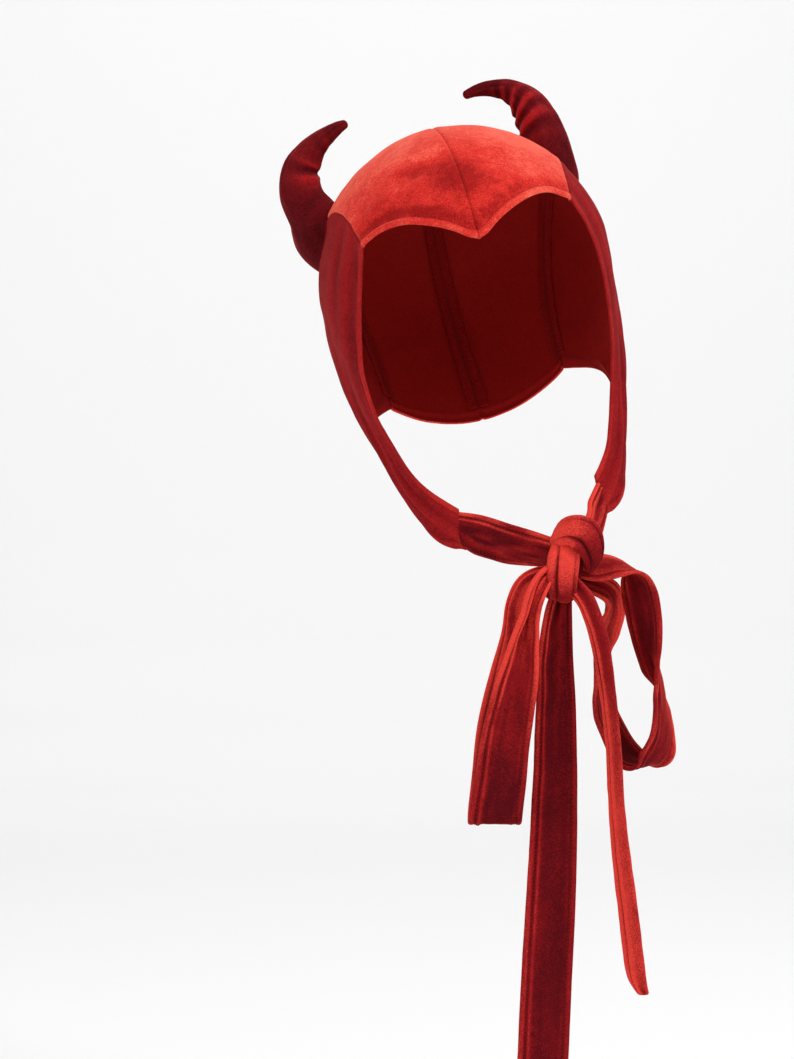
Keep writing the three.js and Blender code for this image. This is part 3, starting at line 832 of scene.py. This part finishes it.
# A darker copy of the bonnet's velvet: its colours paint the shade on the sides of the head.
side_velvet = velvet(
    "side_velvet",
    pressed_and_shaded=(0.38, 0.03, 0.055),
    ground=(0.57, 0.075, 0.09),
    brushed_and_lit=(0.74, 0.15, 0.13),
    rim=(0.56, 0.09, 0.09),
    patch_scale=34.0,
    patch_strength=0.8,
    sheen=0.1,
    bump=0.5,
)


def side_marks(u, v):
    from_face = u * panel_width(v)
    from_jaw = (1 - u) * panel_width(v)
    drop = panel_drop * v
    # Painted light and shade: lighter towards the chin flap, light and dark stripes along the gathers beside
    # the face, and a painted highlight on the rolled hems.
    nap = 0.3 + 0.25 * smooth_step(v, 0.8, 1.0)
    nap += 0.12 * gather_wave(from_face, drop, 0.7) * (1 - smooth_step(from_face, 22, 60))
    nap += 0.25 * (1 - smooth_step(min(from_face, from_jaw), 2.4, 4.4))
    # Painted shade along the seams and in the hems' stitched grooves.
    painted_groove_shade = 0.8 * bell(drop, 0.9) + 0.6 * bell(panel_drop * (1 - v), 0.9)
    painted_groove_shade += 0.6 * bell(from_face - hem_width - 0.2, 0.8) + 0.6 * bell(from_jaw - hem_width - 0.2, 0.8)
    return nap, min(1, painted_groove_shade)


side_columns = [0.65 * t + 0.175 * (1 - math.cos(math.pi * t)) for t in even(66)]
for name, hand in (("side_left", -1), ("side_right", 1)):
    side_place = side_surface(hand)
    panel = cloth_panel(
        name + "_velvet",
        side_place,
        side_columns,
        stepped(panel_drop, drop_step),
        side_marks,
        side_velvet,
        velvet_back,
    )
    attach(panel, "root")
    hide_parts(name)
    hood_panels.append(panel)

    def hem_place(t, place=side_place, edge=0):
        v = 0.012 + 0.975 * t
        u = (hem_width + 0.2) / panel_width(v)
        return place(abs(edge - u), v, cloth_wall / 2 + above_cloth)

    ends = line_of_stitches(hem_place, 900)
    ends += line_of_stitches(lambda t, place=hem_place: place(t, edge=1), 900)
    hem = sewn_line(name + "_hem_stitches", ends, hem_thread)

# The horns: two covers of velvet, each sewn from an inner and an outer piece, stuffed with
# fibre and sewn to the crown seam; a darker copy of the velvet paints their shade in dark
# crimson. They bend inwards, and the inner side buckles into cross creases.
left_horn = table("x y z r", (
    (-58, 14, -46, 18.5),
    (-66, 14, -38, 17.5),
    (-70, 14, -26, 13.8),
    (-73.5, 14, -13, 11.5),
    (-71.5, 13, -2.5, 10.2),
    (-66, 12, 5, 8.6),
    (-59.5, 11, 10.5, 6.6),
    (-52.5, 10, 14, 4.7),
    (-46.5, 10, 16.5, 3.5),
    (-42.6, 10, 17.6, 2.6),
))
right_horn = table("x y z r", (
    (54, 16, -46, 18.5),
    (61, 16, -35, 16),
    (62.6, 16, -20, 14),
    (62.5, 16, -8, 12.4),
    (60.3, 15, 2.5, 10.6),
    (56, 14, 10.5, 8.6),
    (49, 13, 16.8, 5.9),
    (40, 12, 19.6, 4.5),
    (32, 12, 20, 3.3),
    (26.6, 12, 19.2, 2.5),
))
left_creases = table("along depth slant reach", (
    (0.29, 0.6, 0.03, 0.034),
    (0.475, 1.7, 0.035, 0.024),
    (0.62, 0.5, -0.03, 0.026),
    (0.73, 0.45, -0.03, 0.02),
))
right_creases = table("along depth slant reach", (
    (0.27, 1.3, -0.08, 0.026),
    (0.38, 1.7, -0.09, 0.026),
    (0.49, 1.7, -0.08, 0.024),
    (0.59, 1.4, -0.06, 0.021),
    (0.68, 0.8, -0.04, 0.018),
))


def point_of(rows, names, at):
    return Vector([value_at(rows, name, at) for name in names])


def route_at(rows, at):
    """The middle of a horn or band at a place in its table, and the way that it runs there."""
    ahead = point_of(rows, "xyz", min(at + 0.02, len(rows) - 1))
    behind = point_of(rows, "xyz", max(at - 0.02, 0))
    return point_of(rows, "xyz", at), (ahead - behind).normalized()


hood_corners = []
hood_faces = []
for panel in hood_panels:
    first = len(hood_corners)
    hood_corners += [corner.co.copy() for corner in panel.data.vertices]
    hood_faces += [[first + k for k in face.vertices] for face in panel.data.polygons]
hood_surface = BVHTree.FromPolygons(hood_corners, hood_faces)
hood_centre = leaned(Vector((0, 0, -head_above)))


def seated_on_hood(point):
    """A point of a horn, moved out to the cloth where it would be inside the hood."""
    away = point - hood_centre
    found = hood_surface.ray_cast(hood_centre, away.normalized())
    if found[0] is None:
        return point
    rest = found[3] + 0.55 * cloth_wall * mm
    return point if away.length > rest else hood_centre + away.normalized() * rest


def crease_at(creases, u, v):
    """How deep a horn's skin is drawn in at a place, with the soft swell beside each crease."""
    angle = 2 * math.pi * u
    inner_side = max(0.5 + 0.5 * math.cos(angle), 0) ** 0.8
    inner_side *= 1 - 0.5 * bell(math.sin(angle), 0.5) * smooth_step(math.cos(angle), 0, 1)
    depth = 0
    for crease in creases:
        near = v - crease["along"] - crease["slant"] * math.sin(angle)
        swell = bell(near - 2.1 * crease["reach"], 1.4 * crease["reach"])
        swell += bell(near + 2.1 * crease["reach"], 1.4 * crease["reach"])
        depth += crease["depth"] * (bell(near, crease["reach"]) - 0.4 * swell) * inner_side
    return depth


tip_start = 0.97
horn_sides = 48


def horn_point(rows, creases, hand, u, v):
    """A point of a horn's skin: u goes round it from the inner side, v from base to tip."""
    at = min(v / tip_start, 1) * (len(rows) - 1)
    centre, heading = route_at(rows, at)
    depth = Vector((0, 1, 0))
    inward = heading.cross(depth).normalized() * hand
    angle = 2 * math.pi * u
    radius = value_at(rows, "r", at)
    beyond = max(v - tip_start, 0) / (1 - tip_start)
    skin = radius * math.sqrt(max(1 - beyond * beyond, 0))
    skin -= crease_at(creases, u, v) * min(1, radius / 10)
    seam = min(abs(u - 0.25), abs(u - 0.75)) * 2 * math.pi * radius
    skin -= 0.4 * bell(seam, 0.9) * (1 - beyond)
    flat = Vector((centre.x + 40 * math.cos(angle), centre.y + 40 * math.sin(angle), centre.z))
    skin += (ripple(flat, 13, 1.0) + ripple(flat, 5, 0.25)) * min(1, radius / 8) * (1 - beyond)
    point = centre + heading * radius * 0.85 * beyond
    point += inward * skin * math.cos(angle) + depth * skin * math.sin(angle)
    return seated_on_hood(leaned(point))


# The darkest copy of the bonnet's velvet: its colours paint the shade on the horns.
horn_velvet = velvet(
    "horn_velvet",
    pressed_and_shaded=(0.22, 0.01, 0.03),
    ground=(0.4, 0.025, 0.055),
    brushed_and_lit=(0.62, 0.08, 0.1),
    rim=(0.6, 0.1, 0.12),
    patch_scale=40.0,
    patch_strength=0.8,
    sheen=0.2,
    bump=0.5,
)


def closed_tube(name, place, around, places_v, mark, material):
    """A closed body from a grid that wraps round: its seam is merged and its ends filled."""
    bm = bmesh.new()
    along = len(places_v) - 1
    bmesh.ops.create_grid(bm, x_segments=around, y_segments=along, size=1)
    nap = bm.verts.layers.float.new("nap")
    painted_groove_shade = bm.verts.layers.float.new("painted_groove_shade")
    for vert in bm.verts:
        u = round((vert.co.x + 1) / 2 * around) % around / around
        v = places_v[round((vert.co.y + 1) / 2 * along)]
        vert.co = place(u, v)
        vert[nap], vert[painted_groove_shade] = mark(u, v)
    bmesh.ops.remove_doubles(bm, verts=bm.verts, dist=0.002 * mm)
    rim = [e for e in bm.edges if e.is_boundary]
    if rim:
        bmesh.ops.holes_fill(bm, edges=rim, sides=0)
    bmesh.ops.recalc_face_normals(bm, faces=bm.faces)
    mesh = finished_mesh(name, bm)
    mesh.materials.append(material)
    piece = add_object(name, mesh)
    refine(piece)
    return piece


horn_ways = [k / 100 for k in range(98)] + [0.976, 0.982, 0.987, 0.991, 0.995, 0.998, 0.9995]


def horn_marks(creases):
    def marks(u, v):
        crease = crease_at(creases, u, v)
        # Painted shade in the cross creases and a painted highlight on the swells beside them, with slow
        # light and dark bands along the horn; the creases' groove value paints more shade.
        nap = 0.36 - 0.25 * max(crease, 0) - 0.6 * min(crease, 0) + 0.12 * math.sin(9 * v + 5 * u)
        return nap, min(1, 0.35 * max(crease, 0))
    return marks


for name, rows, creases, hand in (
    ("horn_left", left_horn, left_creases, -1),
    ("horn_right", right_horn, right_creases, 1),
):
    piece = closed_tube(
        name + "_velvet",
        lambda u, v, r=rows, c=creases, h=hand: horn_point(r, c, h, u, v),
        horn_sides,
        horn_ways,
        horn_marks(creases),
        horn_velvet,
    )
    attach(piece, "root")
    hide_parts(name)

# The ties and the bow: flat bands of two layers of velvet, turned right side out and
# stitched along both edges, 25 mm wide. They are tied in a bow of two loops, and the two
# ends hang free.
strap_width = 25
strap_columns = "x y z ax ay az width fold nap"

# x, y and z are the middle of the band, ax, ay and az the way across it, fold the angle by
# which it is folded lengthwise, and nap its nap with painted light and shade,
# from 0, pressed and shaded, to 1, brushed up and lit.
left_tie_route = table(strap_columns, (
    (10.9, -44.7, -211.3, 0.19, 0.05, -0.98, 18.8, 0, 0.12),
    (22.5, -48.8, -214.8, 0.14, 0.1, -0.98, 21.5, 4, 0.15),
    (34, -56, -218.9, 0.1, 0.25, -0.95, 22, 10, 0.22),
    (46, -63, -222.5, 0.1, 0.4, -0.88, 21, 20, 0.34),
    (60, -69, -226, 0.1, 0.5, -0.8, 18, 34, 0.3),
))
right_tie_route = table(strap_columns, (
    (86.2, -45, -193.6, 0.32, 0.2, -0.92, 16.5, 0, 0.3),
    (80, -53, -204, 0.4, 0.45, -0.8, 19, 12, 0.5),
    (75, -61, -212, 0.5, 0.6, -0.62, 17, 22, 0.65),
    (68.5, -65.5, -218.5, 0.6, 0.6, -0.5, 13, 30, 0.6),
))
left_loop_route = table(strap_columns, (
    (61, -76, -233, 0.3, 0.1, -0.9, 10, 20, 0.5),
    (52, -82, -233, 0.3, 0.1, -0.93, 9.5, 25, 0.7),
    (46.4, -85, -240, 0.8, 0, -0.6, 13, 45, 0.72),
    (42.4, -86, -251, 0.97, 0, -0.25, 16, 58, 0.66),
    (39.4, -86, -265, 1, 0, -0.05, 19.5, 48, 0.56),
    (36.6, -85.5, -282, 1, 0, 0, 22.5, 30, 0.46),
    (33.2, -84.5, -300, 1, 0, 0, 24, 14, 0.3),
    (30, -84, -319, 1, 0, 0, 25, 6, 0.2),
    (28, -83, -338, 1, 0, 0, 26, 2, 0.08),
    (26, -81.6, -353, 1, 0, 0, 27, 0, 0.0),
    (25.8, -78, -358.2, 1, 0, 0, 27, 0, 0.12),
    (25.8, -74.2, -353, 1, 0, 0, 26, 0, 0.2),
    (27.4, -73, -335, 1, 0, 0, 25, 0, 0.3),
    (29.8, -72.5, -310, 1, 0, 0, 24, 0, 0.4),
    (34.4, -73, -285, 1, 0, 0, 21, 6, 0.5),
    (37, -75, -264, 1, 0, 0, 15, 16, 0.62),
    (37.6, -76.5, -250, 0.95, 0, -0.3, 13, 24, 0.72),
    (41.6, -77.5, -239.6, 0.7, 0, -0.7, 12, 26, 0.7),
    (49, -76, -234.5, 0.4, 0, -0.9, 10, 20, 0.6),
    (58, -73, -234, 0.4, 0, -0.9, 9, 14, 0.5),
))
right_loop_route = table(strap_columns, (
    (66, -73, -229.5, 0, -0.3, -0.95, 11, 16, 0.45),
    (77, -73.5, -229.4, 0, -0.6, -0.8, 17.5, 14, 0.5),
    (88.5, -73, -228.2, 0, -0.9, -0.42, 23, 10, 0.56),
    (97, -72.5, -231.4, 0.3, -0.93, -0.2, 24, 8, 0.46),
    (100.6, -72, -241, 0.55, -0.8, 0, 25, 6, 0.24),
    (103.4, -72, -256, 0.56, -0.83, 0, 25, 6, 0.14),
    (106.4, -72, -272, 0.36, -0.93, 0, 25, 12, 0.14),
    (110, -72, -283, 0.1, -0.99, 0, 25, 26, 0.2),
    (112.4, -71.5, -292.5, -0.25, -0.96, 0, 25, 18, 0.28),
    (113.4, -71, -303, -0.48, -0.87, 0.1, 25, 10, 0.26),
    (113.2, -70.5, -315.5, -0.62, -0.78, 0.08, 25, 8, 0.34),
    (111.2, -69.5, -325.4, -0.82, -0.54, 0.05, 25, 6, 0.3),
    (106.6, -66, -331, -0.9, -0.42, 0.02, 24, 4, 0.22),
    (99.6, -62, -330, -0.84, -0.52, -0.06, 24, 4, 0.16),
    (92.4, -59, -323, -0.7, -0.7, -0.1, 25, 6, 0.16),
    (85, -57.5, -308, -0.62, -0.78, 0, 25, 8, 0.3),
    (82.8, -57, -291, -0.48, -0.87, 0, 24, 8, 0.36),
    (82.4, -57, -276, -0.46, -0.87, -0.1, 23, 8, 0.46),
    (85, -58, -264, -0.7, -0.65, -0.25, 23, 10, 0.62),
    (87.8, -60, -253.5, -0.66, -0.6, -0.45, 21, 14, 0.66),
    (85.8, -63, -245, -0.3, -0.6, -0.75, 18, 22, 0.56),
    (77.5, -66.5, -240.2, 0, -0.5, -0.86, 13, 24, 0.44),
    (66, -69, -236.5, 0, -0.3, -0.95, 10, 22, 0.36),
))
long_tail_route = table(strap_columns, (
    (60.5, -70, -243, 1, 0, 0, 12, 30, 0.22),
    (58.4, -71, -256, 1, 0, 0, 16, 24, 0.2),
    (57, -71, -276, 1, 0.1, 0, 19, 16, 0.16),
    (57.4, -70.5, -304, 1, 0.15, 0, 21.5, 10, 0.12),
    (57, -70, -350, 1, 0.12, 0, 24, 6, 0.1),
    (55.4, -70, -395, 1, 0.05, 0, 25.5, 3, 0.1),
    (53, -70, -440, 1, 0, 0, 26, 2, 0.12),
    (50.4, -70, -500, 1, 0, 0, 26, 0, 0.14),
))
short_tail_route = table(strap_columns, (
    (64.5, -78, -235.5, 0.95, 0.2, 0.3, 13, -45, 0.42),
    (72.2, -86, -245, 0.96, 0.2, 0.3, 17, -58, 0.44),
    (79.2, -88.5, -262, 0.95, 0.26, 0.2, 21, -68, 0.46),
    (83.6, -89, -285, 0.96, 0.26, 0.12, 24, -76, 0.52),
    (86.5, -89, -313, 0.97, 0.2, 0.08, 25, -80, 0.62),
    (88.6, -89, -342, 0.96, 0.26, 0.06, 25, -80, 0.7),
    (91.5, -89, -370, 0.92, 0.38, 0.05, 25, -80, 0.74),
    (96.8, -89, -408, 0.88, 0.48, 0.08, 25, -79, 0.78),
    (99.4, -89, -431, 0.85, 0.52, 0.1, 23, -78, 0.78),
    (100.2, -89, -438.6, 0.85, 0.52, 0.1, 17, -78, 0.76),
    (100.5, -89, -443.2, 0.85, 0.52, 0.1, 8, -77, 0.74),
))
strap_velvet = velvet(
    "strap_velvet",
    pressed_and_shaded=(0.33, 0.022, 0.055),
    ground=(0.54, 0.065, 0.085),
    brushed_and_lit=(0.86, 0.235, 0.195),
    rim=(0.84, 0.24, 0.18),
    patch_scale=36.0,
    patch_strength=0.6,
    sheen=0.25,
    bump=0.5,
)
strap_cut_half = strap_width / 2
edge_steps = (0, 0.3, 0.8, 1.4, 2.0, 2.5, 2.9, 3.2, 3.6, 4.2, 4.8, 5.4, 6.2, 7.8, 10)
strap_shares = [-1 + step / strap_cut_half for step in edge_steps]
strap_shares += [0] + [-share for share in reversed(strap_shares)]
stitch_from_edge = 3.2
roll_middle = 1.5
roll_half_width = 1.55
roll_height = 1.3
face_height = 1.0
strap_step = 2.2


def strap_ring(u):
    """Where u, once round a strap, lies: its share across from -1 to 1, and its side."""
    count = len(strap_shares)
    k = round(u * 2 * count)
    if k < count:
        return strap_shares[k], 1
    return strap_shares[2 * count - 1 - k], -1


def strap_thickness(from_edge, second_ridge):
    """Half the thickness of a strap: a rolled seam at the edge, a stitched groove, the face."""
    across = (from_edge - roll_middle) / roll_half_width
    roll = roll_height * math.sqrt(1 - across * across) if abs(across) < 1 else 0
    face = face_height - 0.4 * bell(from_edge - stitch_from_edge, 0.45)
    face += second_ridge * (0.75 * bell(from_edge - 4.6, 0.8) - 0.3 * bell(from_edge - 6.1, 0.5))
    return max(roll, face * smooth_step(from_edge, 0.6, 2.2))


def band_frame(rows, at, square=1):
    """The middle of a band, the way across it and the way out of its face."""
    centre, heading = route_at(rows, at)
    across = point_of(rows, ("ax", "ay", "az"), at)
    across -= heading * across.dot(heading) * square
    across.normalize()
    return centre, across, heading.cross(across).normalized()


def strap_folds(rows, share, v):
    """The gathers of a strap where it is drawn narrow, and its small creases."""
    at = v * (len(rows) - 1)
    width = value_at(rows, "width", at)
    phase = noise.noise(point_of(rows, "xyz", at) / 15 + Vector((3, 0, 0))) * 2
    gather = max(0, 1 - width / 24) * math.sin(6.5 * share + phase)
    return gather, noise.noise(Vector((share * 4.5, v * len(rows) * 0.9, width / 9)))


def strap_place(strap, share, side, v, above=0.0):
    """A point of a strap's skin. Where the strap is drawn narrow, the cloth gathers in folds."""
    rows, slanted, wrinkle = strap
    at = v * (len(rows) - 1)
    centre, across, face = band_frame(rows, at, smooth_step(at, 0, 1.2) if slanted else 1)
    half = value_at(rows, "width", at) / 2
    fold = math.radians(value_at(rows, "fold", at))
    from_edge = strap_cut_half * (1 - abs(share))
    thick = strap_thickness(from_edge, 1 if share < 0 else 0.4)
    soft = 0.02
    bend = (math.sqrt(share * share + soft) - math.sqrt(soft)) / (math.sqrt(1 + soft) - math.sqrt(soft))
    lean = fold * math.tanh(share * 7)
    point = centre + across * share * half * math.cos(fold) + face * bend * half * math.sin(fold)
    out = face * math.cos(lean) - across * math.sin(lean)
    gather, crease = strap_folds(rows, share, v)
    sway = ripple(centre + across * share * 4, 17, 0.9 * math.cos(fold) ** 2)
    sway += ripple(centre + across * share * half, 6, 0.3)
    sway += 2.3 * gather * (1 - share ** 4) + wrinkle * crease * (1 - share ** 6)
    return (point + out * (side * (thick + above) + sway)) * mm


def strap_marks(strap):
    rows, _, wrinkle = strap

    def marks(u, v):
        share = strap_ring(u)[0]
        at = v * (len(rows) - 1)
        from_edge = strap_cut_half * (1 - abs(share))
        # Painted light and shade along each strap from its table, painted highlights on the rolled edges and
        # on the ridge beside the stitching, and lighter gathers.
        nap = value_at(rows, "nap", at)
        nap += (0.46 if share < 0 else 0.3) * (1 - smooth_step(from_edge, 2.3, 3.2))
        nap += 0.46 * bell(from_edge - 4.8, 1.1) * (1 if share < 0 else 0.15)
        gather, crease = strap_folds(rows, share, v)
        nap += 0.5 * gather + 0.35 * wrinkle * crease
        # Painted shade in the stitched grooves.
        return nap, 0.8 * bell(from_edge - stitch_from_edge, 0.5)
    return marks


def route_run(rows, count):
    """The length of a route, in millimetres, from its start to each of its counted places."""
    last = len(rows) - 1
    points = [point_of(rows, "xyz", k / count * last) for k in range(count + 1)]
    run = [0]
    for a, b in zip(points, points[1:]):
        run.append(run[-1] + (b - a).length)
    return run


def even_ways(rows, spacing, steps=400):
    """Places along a route, evenly spaced in millimetres."""
    run = route_run(rows, steps)
    count = round(run[-1] / spacing)
    ways = []
    k = 0
    for n in range(count + 1):
        target = run[-1] * n / count
        while k < steps - 1 and run[k + 1] < target:
            k += 1
        ways.append((k + (target - run[k]) / (run[k + 1] - run[k])) / steps)
    return ways


stitch_pitch = 1.9
strap_thread = 0.2


def strap_stitches(name, strap):
    """Stitches beside both rolled edges, on both faces of a strap."""
    ways = even_ways(strap[0], stitch_pitch)
    ends = []
    for share in (stitch_from_edge / strap_cut_half - 1, 1 - stitch_from_edge / strap_cut_half):
        for side in (1, -1):
            line = [strap_place(strap, share, side, way, 0.12) for way in ways]
            for a, b in zip(line[1:], line[2:]):
                ends.append((a, a.lerp(b, stitch_share)))
    return sewn_line(name, ends, strap_thread)


ribbons = {}
for name, route, slanted, wrinkle in (
    ("tie_left", left_tie_route, True, 1.5),
    ("tie_right", right_tie_route, True, 1.0),
    ("loop_left", left_loop_route, False, 0.7),
    ("loop_right", right_loop_route, False, 0.8),
    ("tail_long", long_tail_route, False, 0.4),
    ("tail_short", short_tail_route, False, 0.5),
):
    strap = (route, slanted, wrinkle)
    piece = closed_tube(
        name + "_velvet",
        lambda u, v, s=strap: strap_place(s, *strap_ring(u), v),
        2 * len(strap_shares),
        even_ways(route, strap_step),
        strap_marks(strap),
        strap_velvet,
    )
    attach(piece, "root")
    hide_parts(name)
    stitches = strap_stitches(name + "_stitches", strap)
    ribbons[name] = (piece, stitches, route_run(route, 200)[-1])

# The knot: the tie drawn tight round the loops. Round its core lie an upright wrap and, over
# the top, a second one, with the cloth gathered in lengthwise folds.
knot_sections = table("z x y wide deep", (
    (-214, 66, -66, 4, 4),
    (-217, 65, -67, 7.5, 7),
    (-223, 63.5, -69, 9.5, 9.5),
    (-231, 62, -70, 10, 10.5),
    (-239, 60, -71, 9, 9.5),
    (-245, 59, -71, 6.5, 6.5),
    (-247.5, 59, -71, 3.5, 3.5),
))
wrap_columns = "x y z ax ay az width deep nap"
lower_wrap_route = table(wrap_columns, (
    (63.5, -74, -214, 0.95, 0, 0.3, 10, 2.6, 0.5),
    (61.6, -80.5, -220.5, 0.97, 0, 0.25, 12.5, 3.4, 0.86),
    (59.4, -83.5, -228, 1, 0.1, 0.15, 14, 3.8, 0.78),
    (58.8, -83, -236, 1, 0.1, 0, 13.6, 3.8, 0.56),
    (60, -79.5, -243, 1, 0, -0.1, 11.5, 3.4, 0.3),
    (61, -73, -246, 1, 0, -0.2, 8, 2.4, 0.2),
))
upper_wrap_route = table(wrap_columns, (
    (56.5, -74, -218, 0.2, -0.5, 0.85, 6, 2.2, 0.5),
    (58.6, -80, -214.8, 0.3, -0.1, 0.94, 10, 3.2, 0.8),
    (63.4, -84, -212.4, 0.3, 0.1, 0.94, 13.5, 3.8, 0.68),
    (69.4, -85, -214.4, 0.5, 0.15, 0.84, 16, 4, 0.4),
    (73.2, -84, -220.6, 0.78, 0.1, 0.6, 12.5, 3.8, 0.16),
    (74.4, -81.5, -227, 0.88, 0.1, 0.4, 8, 3.2, 0.1),
    (73.4, -77.5, -232, 0.9, 0, 0.3, 4, 2, 0.25),
))


def knot_point(u, v):
    at = v * (len(knot_sections) - 1)
    angle = 2 * math.pi * u
    gathers = 0.07 * math.sin(9 * angle + 3 * v) + 0.04 * math.sin(14 * angle - 5 * v)
    wide = value_at(knot_sections, "wide", at) * (1 + gathers)
    deep = value_at(knot_sections, "deep", at) * (1 + gathers)
    centre = point_of(knot_sections, "xyz", at)
    return (centre + Vector((wide * math.cos(angle), deep * math.sin(angle), 0))) * mm


def wrap_folds(u, v, lean):
    """The lengthwise folds of a wrap of bunched cloth, from -1 in a crease to 1 on a fold."""
    angle = 2 * math.pi * u
    wave = math.sin(5 * angle + lean * (v - 0.5) + 0.7) + 0.5 * math.sin(9 * angle - 2 * v)
    return 1 - 2.2 * math.exp(-2.2 * (wave * 0.66 + 1))


def squared(value):
    """A cosine or sine that gives a slightly squared section in place of a round one."""
    return math.copysign(abs(value) ** 0.8, value)


def wrap_point(rows, lean, u, v):
    """A point of a wrap: a band of bunched cloth, flat inside, rounded outside, with folds."""
    at = v * (len(rows) - 1)
    centre, across, face = band_frame(rows, at)
    angle = 2 * math.pi * u
    half = value_at(rows, "width", at) / 2
    deep = value_at(rows, "deep", at)
    flat_x = squared(math.cos(angle))
    flat_y = squared(math.sin(angle))
    folded = 1 + 0.21 * wrap_folds(u, v, lean)
    sway = ripple(centre + across * flat_x * half, 6, 0.5)
    point = centre + across * flat_x * half * folded + face * (flat_y * deep * folded + sway * 0.5)
    return point * mm


def wrap_marks(rows, lean):
    def marks(u, v):
        folds = wrap_folds(u, v, lean)
        # Painted light on the folds of the wrap and painted shade in its creases.
        nap = value_at(rows, "nap", v * (len(rows) - 1)) + 0.2 * folds
        return nap, min(1, max(0, -1.1 * folds))
    return marks


knot_sides = 60
wrap_sides = 72
wrap_step = 0.9
knot = closed_tube("knot_velvet", knot_point, knot_sides, even(30), lambda u, v: (0.2, 0.0), strap_velvet)
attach(knot, "root")
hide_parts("knot")
for name, node_name, rows, lean in (
    ("knot_lower_wrap", "knot", lower_wrap_route, 1.5),
    ("knot_upper_wrap", "knot_fold", upper_wrap_route, 2.5),
):
    piece = closed_tube(
        name,
        lambda u, v, r=rows, l=lean: wrap_point(r, l, u, v),
        wrap_sides,
        even_ways(rows, wrap_step),
        wrap_marks(rows, lean),
        strap_velvet,
    )
    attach(piece, "root")
    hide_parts(node_name)

for name, held in (
    ("tie_left", "gathered"),
    ("tie_right", "gathered"),
    ("loop_left", "hung"),
    ("loop_right", "hung"),
    ("tail_long", "hung"),
    ("tail_short", "folded"),
):
    piece, stitches, length = ribbons[name]
